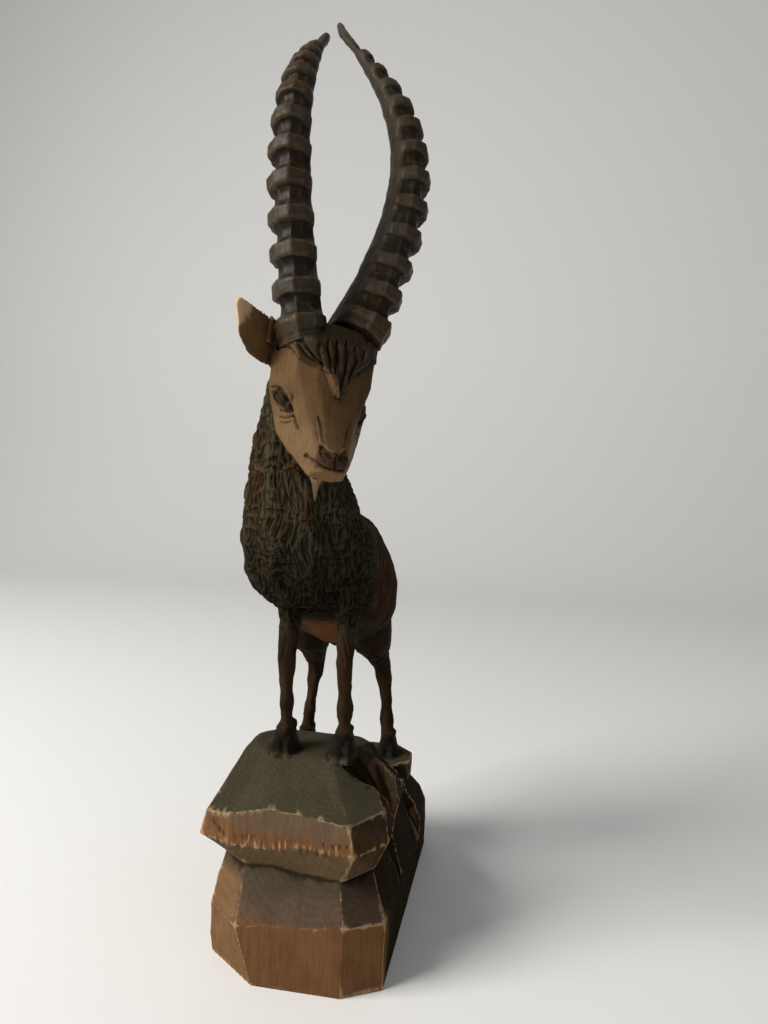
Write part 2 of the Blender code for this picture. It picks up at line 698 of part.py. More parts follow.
# One knob from its sharp lower edge up: share of its pitch, and share of the relief
KNOB_STEPS = ((0.00, 0.00), (0.07, 0.90), (0.36, 1.00), (0.50, 0.42), (0.62, 0.05), (0.84, -0.10))


def horn_ring(head, side, share, relief, margin=0.0, drop=0.0):
    """One section of a horn, widened by a margin for the cut that seats it, or dropped to its seat."""
    place, run = horn_curve(side, share)
    place = place - run * drop
    outward = (X * side - run * (run.dot(X) * side)).normalized()
    forward = outward.cross(run) * side
    turned = Matrix.Rotation(side * HORN_TWIST, 3, run)
    outward = turned @ outward
    forward = turned @ forward
    blunt = 1.0 if share < 0.995 else 0.45
    size = max(TIP_THICKNESS / HORN_ROOT_THICKNESS * blunt, (1.0 - share ** 2.6) ** 0.90)
    half_width = HORN_ROOT_THICKNESS / 2 * size - KNOB_RELIEF * 0.5 * size + margin
    flare = 1.0 + ROOT_FLARE * max(0.0, 1.0 - share / 0.22) ** 2
    half_width *= flare
    tip_depth = TIP_DEPTH / HORN_ROOT_DEPTH * blunt
    depth = HORN_ROOT_DEPTH / 2 * max(tip_depth, (1.0 - share) ** 0.88) * flare
    half_depth = depth - KNOB_RELIEF * 0.5 * size + margin
    slope = math.tan(SEAT_TILT) * max(0.0, 1.0 - share / 0.10)
    ring = []
    for across, ahead, shows in HORN_OUTLINE:
        lift = relief * shows * KNOB_RELIEF * min(1.0, size * 1.3)
        reach = math.hypot(across, ahead)
        out = across * half_width + across / reach * lift
        fore = ahead * half_depth + ahead / reach * lift
        ring.append(head @ (place + outward * out + forward * fore - run * (out * slope)))
    return ring


def seat_axis(side):
    """The root of a horn and the direction in which it leaves the skull, in the head's frame."""
    place, run = horn_curve(side, 0.0)
    return place - run * ROOT_DROP, run


def horn_length(side):
    """The length of a horn's middle line."""
    points = [horn_bezier(side, step / 48)[0] for step in range(49)]
    return sum((there - here).length for here, there in zip(points, points[1:]))


def make_horn(name, side, head):
    """A horn with its row of knobs, a smooth tip and a tenon at its root."""
    knob_end = 1.0 - SMOOTH_TIP_LENGTH / horn_length(side)
    rings = [horn_ring(head, side, 0.0, 0.6, 0.0, ROOT_DROP)]
    for knob in range(KNOB_COUNT):
        for step, relief in KNOB_STEPS:
            share = (knob + step) / KNOB_COUNT * knob_end
            rings.append(horn_ring(head, side, share, 0.6 if share == 0.0 else relief))
    for step in (0.0, 0.50, 0.83, 1.0):
        rings.append(horn_ring(head, side, mix(knob_end, 1.0, step), 0.0))
    horn = loft(name, rings)
    root, run = seat_axis(side)
    tenon = bar(
        name + "_tenon", head @ (root - run * TENON_LENGTH), head @ (root + run * (TENON_LENGTH * 0.5)), TENON_RADIUS
    )
    join(horn, tenon)
    return horn


def seat_horn(carving, name, side, head):
    """Cut the skull flat under a horn and bore its socket."""
    root, run = seat_axis(side)
    high = head @ (root + run * HORN_ROOT_DEPTH)
    lifts = (-GLUE_GAP, HORN_ROOT_DEPTH)
    rim = horn_ring(head, side, 0.0, 1.0, SEAT_MARGIN, ROOT_DROP)
    axis = head.to_3x3() @ run
    cut(carving, loft(name + "_seat", [[point + axis * lift for point in rim] for lift in lifts]))
    bottom = head @ (root - run * (TENON_LENGTH + GLUE_GAP))
    cut(carving, bar(name + "_socket", bottom, high, TENON_RADIUS + GLUE_GAP))


def make_tail(carving):
    """A short tail over the rump."""
    y, under, top = trunk_frame(0.93)
    root = Vector((TRUNK_CENTRE_X, y, mix(under, top, 0.72)))
    tip = root + Y * (TAIL_LENGTH * 0.75) - Z * (TAIL_LENGTH * 0.75)
    rings = [
        oval(root, X, Z, 0.0045, 0.0050, 8),
        oval(root.lerp(tip, 0.5), X, Z, 0.0042, 0.0042, 8, 0.5),
        oval(tip, X, Z, 0.0015, 0.0012, 8),
    ]
    join(carving, loft("tail", rings))


def channel(name, points, radii):
    """A bent gouge cut through some points, wider where its radius is larger."""
    rings = []
    for number, (point, radius) in enumerate(zip(points, radii)):
        before = points[max(number - 1, 0)]
        after = points[min(number + 1, len(points) - 1)]
        run = (after - before).normalized()
        across = run.cross(X).normalized()
        rings.append(oval(point, across, run.cross(across), radius, radius, 14, 0.5 * (number % 2)))
    return loft(name, rings)


def carve_rock(carving):
    """The scoop beside the front hooves, and the folds that it and a second gouge leave at the right."""
    half = ROCK_WIDTH / 2
    edge = STANCE_CENTRE_X + PLATEAU_WIDTH * 0.41
    bulge_y = -ROCK_LENGTH * 0.235
    second_y = ROCK_LENGTH * 0.11
    scoop_path = (
        Vector((edge - SCOOP_RADIUS * 0.15, FRONT_HOOF_Y - HOOF_LENGTH * 0.10, PLATEAU_HEIGHT + SCOOP_RADIUS * 0.45)),
        Vector((mix(edge, half, 0.52), bulge_y + 0.003, mix(PLATEAU_HEIGHT, WAIST_HEIGHT, 0.20))),
        Vector((half + SCOOP_RADIUS * 0.10, bulge_y + 0.012, mix(PLATEAU_HEIGHT, WAIST_HEIGHT, 0.58))),
        Vector((half + SCOOP_RADIUS * 0.22, bulge_y + 0.015, WAIST_HEIGHT - 0.003)),
        Vector((half + SCOOP_RADIUS * 0.80, bulge_y + 0.012, SPLIT_FACE_HEIGHT)),
    )
    cut(carving, channel("scoop", scoop_path, [SCOOP_RADIUS * share for share in (0.90, 1.00, 0.92, 0.80, 0.80)]))
    fold_path = (
        Vector((edge + FLUTE_RADIUS * 0.20, second_y - 0.010, PLATEAU_HEIGHT + FLUTE_RADIUS * 0.1)),
        Vector((mix(edge, half, 0.45), second_y + 0.002, mix(PLATEAU_HEIGHT, WAIST_HEIGHT, 0.45))),
        Vector((half + FLUTE_RADIUS * 0.05, second_y + 0.012, mix(PLATEAU_HEIGHT, WAIST_HEIGHT, 0.78))),
        Vector((half + FLUTE_RADIUS * 0.22, second_y + 0.016, SPLIT_FACE_HEIGHT + 0.008)),
        Vector((half + FLUTE_RADIUS * 1.05, second_y + 0.016, SPLIT_FACE_HEIGHT - 0.006)),
    )
    cut(carving, channel("fold", fold_path, [FLUTE_RADIUS * share for share in (0.9, 1.05, 1.05, 1.0, 1.0)]))


def main():
    for old in list(bpy.data.objects):
        bpy.data.objects.remove(old)
    head = head_matrix()
    carving = make_rock()
    carve_rock(carving)
    make_trunk(carving)
    make_legs(carving)
    make_neck(carving, head)
    make_skull(carving, head)
    for side, name in ((-1, "right"), (1, "left")):
        make_eye(carving, head, side, name)
    make_ears(carving, head)
    make_forelock(carving, head)
    make_muzzle(carving, head)
    make_tail(carving)
    carving.data.materials.append(material("stained_lime_wood", (0.075, 0.048, 0.030), 0.55))
    horn_wood = material("dark_horn_wood", (0.040, 0.032, 0.026), 0.50)
    for side, name in ((-1, "right_horn"), (1, "left_horn")):
        seat_horn(carving, name, side, head)
        horn = make_horn(name, side, head)
        horn.data.materials.append(horn_wood)


main()
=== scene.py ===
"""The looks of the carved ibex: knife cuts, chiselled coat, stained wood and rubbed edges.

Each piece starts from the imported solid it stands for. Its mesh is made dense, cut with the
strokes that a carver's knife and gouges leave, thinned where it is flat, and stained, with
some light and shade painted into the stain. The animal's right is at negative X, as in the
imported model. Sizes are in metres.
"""
import itertools
import math

import bmesh
import bpy
import numpy as np
from mathutils import Matrix, Vector


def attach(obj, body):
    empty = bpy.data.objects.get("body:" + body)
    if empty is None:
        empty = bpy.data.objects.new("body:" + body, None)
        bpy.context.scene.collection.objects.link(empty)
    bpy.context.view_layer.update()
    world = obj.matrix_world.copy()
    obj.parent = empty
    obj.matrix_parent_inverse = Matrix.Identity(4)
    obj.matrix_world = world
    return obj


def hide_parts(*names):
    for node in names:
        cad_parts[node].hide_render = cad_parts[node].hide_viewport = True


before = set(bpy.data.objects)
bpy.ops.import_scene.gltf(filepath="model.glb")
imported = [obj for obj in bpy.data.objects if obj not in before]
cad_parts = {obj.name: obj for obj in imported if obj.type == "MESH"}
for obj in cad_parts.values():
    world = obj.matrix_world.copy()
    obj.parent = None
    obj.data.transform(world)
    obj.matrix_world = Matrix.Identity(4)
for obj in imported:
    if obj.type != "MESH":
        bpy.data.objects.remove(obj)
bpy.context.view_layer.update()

bl_info = {
    "name": "Carved ibex looks",
    "version": (1, 0, 0),
    "blender": (4, 5, 0),
    "location": "View3D > Sidebar > Carving",
    "description": "Dresses the packed ibex carving with knife cuts, stain and wear",
    "category": "Object",
}

# The head's own frame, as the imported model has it: its place, its turn and its tilt
HEAD_PLACE = Vector((0.0056, -0.045, 0.2705))
HEAD_TURN = math.radians(36)
HEAD_TILT = math.radians(9)
# The horns' middle lines and knobs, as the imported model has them
HORN_HEIGHT = 0.165
HORN_SPREAD = 0.0377
HORN_SWEEP = 0.0725
HORN_ROOT_SPACING = 0.0215
HORN_STEP = 0.0038
KNOB_COUNT = 12
SMOOTH_TIP_LENGTH = 0.023
# Heights of the rock's parts
PLATEAU_HEIGHT = 0.0875
HIND_STEP_HEIGHT = 0.0575
LEDGE_LOW = 0.0565
# Where the face ends and the coat begins, in the head's own frame: height, and how far back
JAW_HEIGHTS = (-0.0620, -0.0574, -0.0524, -0.0456, -0.0350, -0.0260, -0.0163, -0.0059, 0.0050)
JAW_REARS = (-0.0232, -0.0171, -0.0100, -0.0031, 0.0018, 0.0063, 0.0107, 0.0122, 0.0130)
# The beard in the same frame: its middle line and half width at three heights, and where it begins and ends
BEARD_HEIGHTS = (-0.0740, -0.0660, -0.0600)
BEARD_MIDDLES = (0.0040, 0.0012, 0.0)
BEARD_HALF_WIDTHS = (0.0016, 0.0033, 0.0036)
BEARD_TOP = -0.0615
BEARD_END = -0.0760
BEARD_REAR = -0.0066
BEARD_SLIMMING = 0.45
# The direction in which the face is seen, in the head's own frame
FACE_VIEW = Vector((0.343, 0.930, 0.130)).normalized()
# How far the thin ears are swollen before their mesh is made even
EAR_SWELLING = 0.00050
BLOCK_TRIANGLES = 192000
HORN_TRIANGLES = 70000
# How much the horns are worn and polished, from 0 to 1. Their pale rubbed edges are partly painted
# highlight on the knobs' edges
HORN_WEAR_AND_HIGHLIGHT = 0.56
HORN_POLISH = 0.20
# Ridges that bend more than this are shown sharp
SHARP_ANGLE = math.radians(38)
SENSOR_WIDTH = 36.0


def head_matrix():
    """The head's frame: X to the animal's left, Y to the back of its head, Z up."""
    across = Vector((math.cos(HEAD_TURN), math.sin(HEAD_TURN), 0.0))
    back = Vector((-math.sin(HEAD_TURN), math.cos(HEAD_TURN), 0.0))
    up = Vector((0.0, 0.0, 1.0))
    side = across * math.cos(HEAD_TILT) - up * math.sin(HEAD_TILT)
    crown = across * math.sin(HEAD_TILT) + up * math.cos(HEAD_TILT)
    return Matrix.Translation(HEAD_PLACE) @ Matrix((side, back, crown)).transposed().to_4x4()


def in_head(points):
    """The points in the head's frame."""
    inverse = np.array(head_matrix().inverted())
    return points @ inverse[:3, :3].T + inverse[:3, 3]


# Numbers on many points at once


def rise(low, high, values):
    """From 0 at low to 1 at high, with a soft start and end. Low may be the larger number."""
    share = np.clip((values - low) / (high - low), 0.0, 1.0)
    return share * share * (3.0 - 2.0 * share)


def fall(low, high, values):
    """From 1 at low to 0 at high."""
    return 1.0 - rise(low, high, values)


def band(low, high, soft, values):
    """1 between low and high, and 0 outside, with soft sides."""
    return rise(low - soft, low + soft, values) * fall(high - soft, high + soft, values)


def random_of(cells, seed):
    """Three numbers from 0 to 1 for each whole-number cell, the same in each run."""
    turn = np.array(((127.1, 269.5, 419.2), (311.7, 183.3, 371.9), (74.7, 246.1, 124.6)))
    wave = np.sin(cells @ turn + seed * 17.23) * 43758.5453
    return wave - np.floor(wave)


def cells_around(places):
    """The whole-number cell of each place, and the same for each of its neighbours."""
    base = np.floor(places)
    for step in itertools.product((-1, 0, 1), repeat=3):
        yield base + np.array(step)


def hollow_cuts(points, size, seed, tilt=0.5):
    """Overlapping hollow cuts of about a given size, lowest in their beds. They meet in crisp ridges."""
    places = points / np.array(size)
    lowest = np.full(len(points), 1e9)
    for cell in cells_around(places):
        own = random_of(cell, seed)
        lean = random_of(cell, seed + 40) - 0.5
        offset = places - (cell + 0.1 + 0.8 * own)
        height = (offset ** 2).sum(axis=1) + (offset * lean).sum(axis=1) * tilt + own[:, 1] * 0.3
        lowest = np.minimum(lowest, height)
    return lowest


def overlapping_locks(points, size, seed):
    """Locks of hair that overlap like tiles: each rises down its length and ends in a short step."""
    places = points / np.array(size)
    highest = np.full(len(points), -1e9)
    for cell in cells_around(places):
        own = random_of(cell, seed)
        offset = places - (cell + 0.1 + 0.8 * own)
        across = offset[:, 0] ** 2 + offset[:, 1] ** 2
        below = np.clip(-offset[:, 2] - 0.45, 0.0, None)
        height = -offset[:, 2] * 0.9 - across * 1.5 - below * 9.0 + own[:, 1] * 0.3
        highest = np.maximum(highest, height)
    return highest


def soft_noise(points, seed):
    """Smooth noise from 0 to 1."""
    base = np.floor(points)
    share = points - base
    share = share * share * (3.0 - 2.0 * share)
    total = np.zeros(len(points))
    for corner in itertools.product((0, 1), repeat=3):
        corner = np.array(corner)
        weight = np.prod(np.where(corner == 1, share, 1.0 - share), axis=1)
        total += weight * random_of(base + corner, seed)[:, 0]
    return total


def where(mask, field, points, *settings):
    """A field worked out only for the points that a mask shows, and 0 for the others."""
    chosen = mask > 0.004
    values = np.zeros(len(points))
    if chosen.any():
        values[chosen] = field(points[chosen], *settings)
    return values


def near_path(points, path, axis):
    """How far each point is from a path seen along an axis, how deep it lies, and how far along."""
    axis = np.array(axis)
    best = np.full(len(points), 1e9)
    depth = np.full(len(points), 1e9)
    place = np.zeros(len(points))
    steps = len(path) - 1
    for number, (start, end) in enumerate(zip(path, path[1:])):
        start = np.array(start)
        run = np.array(end) - start
        flat_run = run - axis * run.dot(axis)
        offset = points - start
        flat = offset - np.outer(offset @ axis, axis)
        share = np.clip(flat @ flat_run / max(flat_run.dot(flat_run), 1e-12), 0.0, 1.0)
        distance = np.linalg.norm(flat - np.outer(share, flat_run), axis=1)
        nearer = distance < best
        best = np.where(nearer, distance, best)
        depth = np.where(nearer, (offset - np.outer(share, run)) @ axis, depth)
        place = np.where(nearer, (number + share) / steps, place)
    return best, depth, place


# Meshes


def dense_copy(node, name, voxel, swollen=None):
    """A new piece in the shape of a CAD node, made of small even faces. Thin parts may be swollen."""
    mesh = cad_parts[node].data.copy()
    mesh.name = name
    mesh.materials.clear()
    shape = bmesh.new()
    shape.from_mesh(mesh)
    bmesh.ops.remove_doubles(shape, verts=shape.verts, dist=1e-6)
    if swollen:
        shape.normal_update()
        amounts = swollen(np.array([vertex.co for vertex in shape.verts]))
        for vertex, amount in zip(shape.verts, amounts):
            vertex.co += vertex.normal * amount
    shape.to_mesh(mesh)
    shape.free()
    piece = bpy.data.objects.new(name, mesh)
    bpy.context.scene.collection.objects.link(piece)
    remesh = piece.modifiers.new("Even faces", "REMESH")
    remesh.mode = "VOXEL"
    remesh.voxel_size = voxel
    remesh.adaptivity = 0.0
    settle(piece)
    return piece


def settle(piece):
    """Turn a piece and its modifiers into one plain mesh."""
    bpy.context.view_layer.update()
    graph = bpy.context.evaluated_depsgraph_get()
    finished = bpy.data.meshes.new_from_object(piece.evaluated_get(graph))
    old = piece.data
    piece.modifiers.clear()
    piece.data = finished
    bpy.data.meshes.remove(old)
    piece.data.name = piece.name


def refine(piece, chosen):
    """Halve the edges of the faces where chosen says so for both ends of an edge."""
    shape = bmesh.new()
    shape.from_mesh(piece.data)
    shape.verts.ensure_lookup_table()
    flags = chosen(points_of(piece.data))
    edges = [edge for edge in shape.edges if all(flags[vertex.index] for vertex in edge.verts)]
    bmesh.ops.subdivide_edges(shape, edges=edges, cuts=1, use_grid_fill=True)
    bmesh.ops.triangulate(shape, faces=[face for face in shape.faces if len(face.verts) > 4])
    shape.to_mesh(piece.data)
    shape.free()


def points_of(mesh):
    """The vertices of a mesh as an array."""
    flat = np.empty(len(mesh.vertices) * 3)
    mesh.vertices.foreach_get("co", flat)
    return flat.reshape(-1, 3)


def normals_of(mesh):
    """The vertex normals of a mesh as an array."""
    flat = np.empty(len(mesh.vertices) * 3, np.float32)
    mesh.vertex_normals.foreach_get("vector", flat)
    return flat.reshape(-1, 3).astype(float)


def set_points(mesh, points):
    """Move the vertices of a mesh."""
    mesh.vertices.foreach_set("co", points.reshape(-1).astype(np.float32))
    mesh.update()


def edges_of(mesh):
    """The vertex pairs of a mesh's edges as an array."""
    flat = np.empty(len(mesh.edges) * 2, np.int32)
    mesh.edges.foreach_get("vertices", flat)
    return flat.reshape(-1, 2)


def averaged(values, edges, times):
    """Each value replaced several times by the mean of its neighbours' values."""
    count = len(values)
    ends = np.concatenate((edges[:, 0], edges[:, 1]))
    others = np.concatenate((edges[:, 1], edges[:, 0]))
    share = 1.0 / np.maximum(np.bincount(ends, minlength=count), 1)
    result = values.astype(float)
    for _ in range(times):
        if result.ndim == 1:
            result = np.bincount(ends, result[others], count) * share
        else:
            columns = [np.bincount(ends, column, count) * share for column in result[others].T]
            result = np.stack(columns, axis=1)
    return result


def evened(points, edges, times):
    """The points with short ripples taken out and the larger shape kept."""
    for number in range(times * 2):
        step = 0.50 if number % 2 == 0 else -0.53
        points = points + (averaged(points, edges, 1) - points) * step
    return points


def bulge(mesh, times):
    """How far each vertex stands out of its surroundings: above 0 on ridges, below 0 in grooves."""
    points = points_of(mesh)
    return ((points - averaged(points, edges_of(mesh), times)) * normals_of(mesh)).sum(axis=1)


def read(mesh, name):
    """The numbers that were stored for each vertex."""
    values = np.empty(len(mesh.vertices), np.float32)
    mesh.attributes[name].data.foreach_get("value", values)
    return values.astype(float)


def store(mesh, name, values):
    """Keep one number for each vertex, for the materials to read."""
    layer = mesh.attributes.get(name) or mesh.attributes.new(name, "FLOAT", "POINT")
    layer.data.foreach_set("value", values.astype(np.float32))


def thin_out(piece, triangles):
    """Merge faces where the surface is flat, so that the faces are spent on the cuts."""
    piece.data.calc_loop_triangles()
    share = triangles / max(len(piece.data.loop_triangles), 1)
    if share < 1.0:
        thin = piece.modifiers.new("Fewer faces", "DECIMATE")
        thin.ratio = share
        thin.use_collapse_triangulate = True
        settle(piece)
    piece.data.polygons.foreach_set("use_smooth", [True] * len(piece.data.polygons))
    piece.data.set_sharp_from_angle(angle=SHARP_ANGLE)
    piece.data.update()


# The carving: where its parts are


class CarvingZones:
    """Soft masks of the parts of the carved block, from the places of its points."""

    def __init__(self, points):
        self.points = points
        self.head = in_head(points)
        self.mark_head()
        self.mark_rock()
        self.mark_body()

    def mark_head(self):
        """The skull with the beard, and the ears."""
        across, back, up = self.head.T
        rear = np.interp(up, JAW_HEIGHTS, JAW_REARS)
        self.skull = fall(-0.0008, 0.0008, back - rear)
        self.skull *= fall(0.0235, 0.0245, np.abs(across))
        self.skull *= rise(-0.0665, -0.0655, up) * fall(0.004, 0.007, up)
        self.beard_line = np.interp(up, BEARD_HEIGHTS, BEARD_MIDDLES)
        half_width = np.interp(up, BEARD_HEIGHTS, BEARD_HALF_WIDTHS)
        self.beard = np.abs(across - self.beard_line) < half_width
        self.beard &= (up < BEARD_TOP) & (up > BEARD_END) & (back < BEARD_REAR)
        self.skull = np.maximum(self.skull, self.beard)
        self.ear = rise(0.0205, 0.0225, -across) * rise(-0.024, -0.021, up)
        self.left_ear = rise(0.018, 0.020, across) * rise(-0.022, -0.018, up)
        self.left_ear *= rise(0.012, 0.016, back)

    def mark_rock(self):
        """The rock, and the animal that stands on it."""
        x, y, z = self.points.T
        top = np.where(y > 0.028, HIND_STEP_HEIGHT, PLATEAU_HEIGHT) + 0.0006
        slope = (y > 0.0) & (y < 0.034) & (z < PLATEAU_HEIGHT + 0.001) & (np.abs(x) < 0.045)
        self.rock = np.where(slope, 1.0, fall(-0.0008, 0.0012, z - top))
        self.animal = 1.0 - self.rock

    def mark_body(self):
        """The coat of neck and chest, the trunk with its belly, the legs and the hooves."""
        x, y, z = self.points.T
        hock = rise(0.010, 0.018, y)
        no_ear = (1.0 - self.ear) * (1.0 - self.left_ear)
        left_shoulder = np.clip(x - 0.011, 0.0, 0.02) * 2.2 * fall(0.185, 0.205, z)
        self.neck = self.animal * rise(0.137, 0.150, z) * (1.0 - self.skull)
        self.neck *= fall(-0.012, 0.002, y + (z - 0.20) * 0.25 + left_shoulder)
        self.neck *= no_ear
        self.trunk = self.animal * (1.0 - self.neck) * (1.0 - self.skull)
        self.trunk *= rise(0.118, 0.132, z + hock * 0.006)
        self.trunk *= no_ear
        self.legs = self.animal * fall(0.135, 0.150, z + hock * 0.012)
        self.legs *= 1.0 - self.neck * 0.5
        self.belly = self.trunk * band(-0.030, 0.034, 0.004, y)
        self.belly *= fall(0.134, 0.142, z + x * 0.2)
        above_foot = z - np.where(y > 0.020, HIND_STEP_HEIGHT, PLATEAU_HEIGHT)
        self.hoof = self.animal * fall(0.0095, 0.0115, above_foot)
        self.hoof *= rise(0.0, 0.0012, above_foot)


# Knife strokes on the head, in the head's frame and in millimetres, as the photograph shows them
# on the animal's right side. Each has its path, its half width and its depth
SIDE_STROKES = (
    ("upper lid", ((-20.8, -1.5, -27.9), (-19.8, -5.2, -28.1), (-18.1, -9.8, -30.6), (-15.9, -13.7, -34.6),
                   (-14.3, -14.6, -37.6)), 1.0, 0.9),
    ("lower lid", ((-20.2, -3.6, -31.0), (-19.5, -6.4, -34.5), (-17.7, -8.6, -37.4),
                   (-14.8, -13.4, -38.0)), 0.7, 0.6),
    ("cheek fold", ((-17.9, -8.2, -39.9), (-16.0, -11.2, -40.4), (-14.3, -14.0, -39.5)), 0.6, 0.5),
    ("lower fold", ((-17.1, -9.2, -42.0), (-15.4, -11.8, -42.2), (-14.2, -13.9, -41.2)), 0.6, 0.4),
    ("tear groove", ((-14.2, -14.4, -38.6), (-13.2, -15.6, -41.4), (-11.9, -16.9, -44.0)), 1.2, 0.9),
    ("mouth corner", ((-9.4, -22.3, -54.3), (-8.3, -24.0, -53.9)), 1.5, 1.1),
    ("mouth", ((-8.7, -23.6, -54.3), (-5.8, -27.0, -56.2), (-3.5, -30.0, -57.8),
               (0.0, -30.6, -58.2)), 0.8, 0.9),
    ("nostril", ((-5.5, -27.1, -49.7), (-3.3, -29.5, -51.6), (-1.0, -31.5, -54.1)), 1.6, 1.2),
    ("nose wing", ((-5.6, -28.0, -51.4), (-4.6, -29.6, -53.8), (-3.0, -30.6, -55.6)), 0.6, 0.5),
)
SIDE_RIDGES = (
    ("lower lid edge", ((-18.6, -7.6, -38.6), (-16.5, -10.6, -39.2), (-14.4, -13.9, -38.6)), 0.6, 0.45),
    ("brow", ((-21.0, -1.0, -25.2), (-19.2, -7.1, -26.2), (-17.5, -10.9, -28.2),
              (-15.6, -12.8, -32.0)), 1.5, 0.5),
    ("nose edge", ((-7.2, -22.1, -38.1), (-5.8, -24.7, -44.4), (-5.1, -26.9, -48.5), (-2.3, -30.0, -50.9),
                   (1.3, -30.9, -51.9)), 0.8, 0.75),
)
# The forelock's strokes lie across the brow, from the animal's right to its left
MIDDLE_STROKES = (
    ("cleft", ((-0.5, -31.8, -53.0), (0.4, -31.2, -55.6), (0.8, -30.6, -58.2)), 0.9, 1.1),
    ("strand 1", ((-16.6, -13.3, -11.2), (-12.4, -16.6, -15.8), (-9.1, -18.7, -17.2)), 0.8, 0.8),
    ("strand 2", ((-13.8, -14.7, -10.9), (-10.3, -17.5, -15.0), (-7.0, -20.4, -18.1)), 0.9, 1.0),
    ("strand 3", ((-10.3, -19.3, -10.0), (-8.9, -19.7, -14.5), (-6.7, -20.0, -18.8)), 1.1, 1.2),
    ("strand 4", ((-6.6, -18.7, -7.4), (-5.9, -19.9, -13.8), (-4.7, -23.0, -20.2)), 1.0, 1.1),
    ("strand 5", ((-2.3, -17.1, -7.0), (-2.7, -22.7, -20.5)), 1.2, 1.3),
    ("strand 6", ((1.8, -16.2, -6.0), (1.5, -21.5, -17.8), (-0.1, -24.1, -26.8)), 1.1, 1.2),
    ("strand 7", ((5.6, -17.9, -7.3), (5.9, -20.0, -13.3), (3.0, -22.8, -21.6)), 1.2, 1.2),
    ("strand 8", ((9.9, -18.5, -8.0), (8.6, -20.8, -14.0), (6.4, -20.4, -18.6)), 1.0, 1.0),
    ("strand 9", ((14.0, -15.0, -8.0), (12.6, -16.6, -12.5), (10.2, -17.6, -16.0)), 0.9, 0.8),
)
# The lower edge of the forelock: across the brow, and how high
FORELOCK_EDGE = (
    (-20.0, -9.0), (-18.0, -12.0), (-16.0, -15.9), (-13.9, -16.8), (-10.6, -18.0), (-6.5, -19.3),
    (-3.6, -21.3), (-1.9, -23.9), (-0.9, -28.0), (0.2, -30.6), (1.0, -28.2), (1.9, -25.2), (4.4, -22.3),
    (7.3, -19.7), (10.9, -15.9), (14.2, -13.0), (20.0, -9.0),
)
EYE_SLIT = ((-20.4, -3.6, -30.0), (-18.6, -8.0, -32.8), (-14.9, -13.6, -37.3))


def millimetres(path):
    """A path that is written in millimetres, in metres."""
    return [tuple(value / 1000.0 for value in point) for point in path]


def both_sides(path):
    """A path in metres with the direction it is seen in: on the animal's right, then on its left."""
    route = millimetres(path)
    left_view = FACE_VIEW.copy()
    left_view.x = -left_view.x
    return (route, FACE_VIEW), ([(-x, y, z) for x, y, z in route], left_view)


def stroke_depth(zones, normals, path, axis, half_width, fade=0.15):
    """The profile of one V-shaped stroke, from 0 to 1, thinner at its two ends."""
    distance, depth, place = near_path(zones.head, path, axis)
    turn = np.array(head_matrix().to_3x3().inverted())
    facing = rise(-0.15, 0.15, -(normals @ turn.T) @ np.array(axis))
    ends = np.minimum(1.0, np.minimum(place, 1.0 - place) / fade * 0.7 + 0.3)
    profile = np.clip(1.0 - distance / (half_width * ends), 0.0, 1.0)
    return profile * facing * (np.abs(depth) < 0.008)


def cut_face(zones, normals):
    """The head's knife strokes: how far each point moves out, in metres."""
    move = np.zeros(len(zones.points))
    near_head = zones.head[:, 2] > -0.075
    for strokes, sign in ((SIDE_STROKES, -1.0), (SIDE_RIDGES, 1.0)):
        for _, path, half_width, depth in strokes:
            for route, axis in both_sides(path):
                profile = stroke_depth(zones, normals, route, axis, half_width / 1000.0)
                move += sign * profile * depth / 1000.0 * near_head
    for _, path, half_width, depth in MIDDLE_STROKES:
        profile = stroke_depth(zones, normals, millimetres(path), FACE_VIEW, half_width / 1000.0)
        move -= profile * depth / 1000.0 * near_head
    return move


def forelock_mask(zones):
    """1 on the dark tuft between the horns, 0 below its pointed edge."""
    across, _, up = zones.head.T
    edge = np.array(FORELOCK_EDGE) / 1000.0
    level = np.interp(across, edge[:, 0], edge[:, 1])
    return rise(-0.0004, 0.0004, up - level) * zones.skull


def thin_parts(points):
    """How far the thin ears are swollen, so that their edges come out whole."""
    zones = CarvingZones(points)
    fade = rise(0.0215, 0.0265, np.abs(zones.head[:, 0]))
    return np.clip(zones.ear * fade + zones.left_ear, 0.0, 1.0) * EAR_SWELLING


def fine_parts(points):
    """Where the block's mesh is halved: the face, the right ear and the coat of the neck and chest."""
    zones = CarvingZones(points)
    return zones.skull + zones.ear + zones.neck * (points[:, 2] > 0.150) > 0.2


def levelled(field, mask):
    """A field spread from 0 in its deep places to 1 on its high ones, as found where a mask shows."""
    low, high = np.percentile(field[mask > 0.5], (4, 96))
    return np.clip((field - low) / (high - low), 0.0, 1.0)


def carve_coat(points, zones, drift, sizes):
    """The neck and chest: narrow chisel cuts, wider hollows, and curls that end in stop cuts. Also the
    painted shade of their grooves.
    """
    bent = points + drift * np.array((0.006, 0.006, 0.010))
    width = sizes.tuft_width
    length = sizes.tuft_length
    mask = zones.neck
    locks = where(mask, overlapping_locks, bent, (width * 1.05, width * 1.05, length * 0.55), 11)
    hollows = where(mask, hollow_cuts, bent, (width * 1.3, width * 1.3, length * 1.0), 12, 0.6)
    narrow = where(mask, hollow_cuts, bent, (width * 0.46, width * 0.46, length * 0.70), 13, 0.4)
    curly = rise(0.40, 0.56, soft_noise(points / 0.012, 6)) * rise(0.250, 0.225, points[:, 2])
    coat = levelled(hollows, mask) * (0.62 - 0.36 * curly) + levelled(locks, mask) * (0.10 + 0.52 * curly)
    coat = levelled(coat + levelled(narrow, mask) * 0.62, mask)
    # The second part is painted shade, darkest deep in the coat's grooves
    return mask * sizes.tuft_depth * (coat - 0.55), mask * (1.0 - coat) ** 1.3


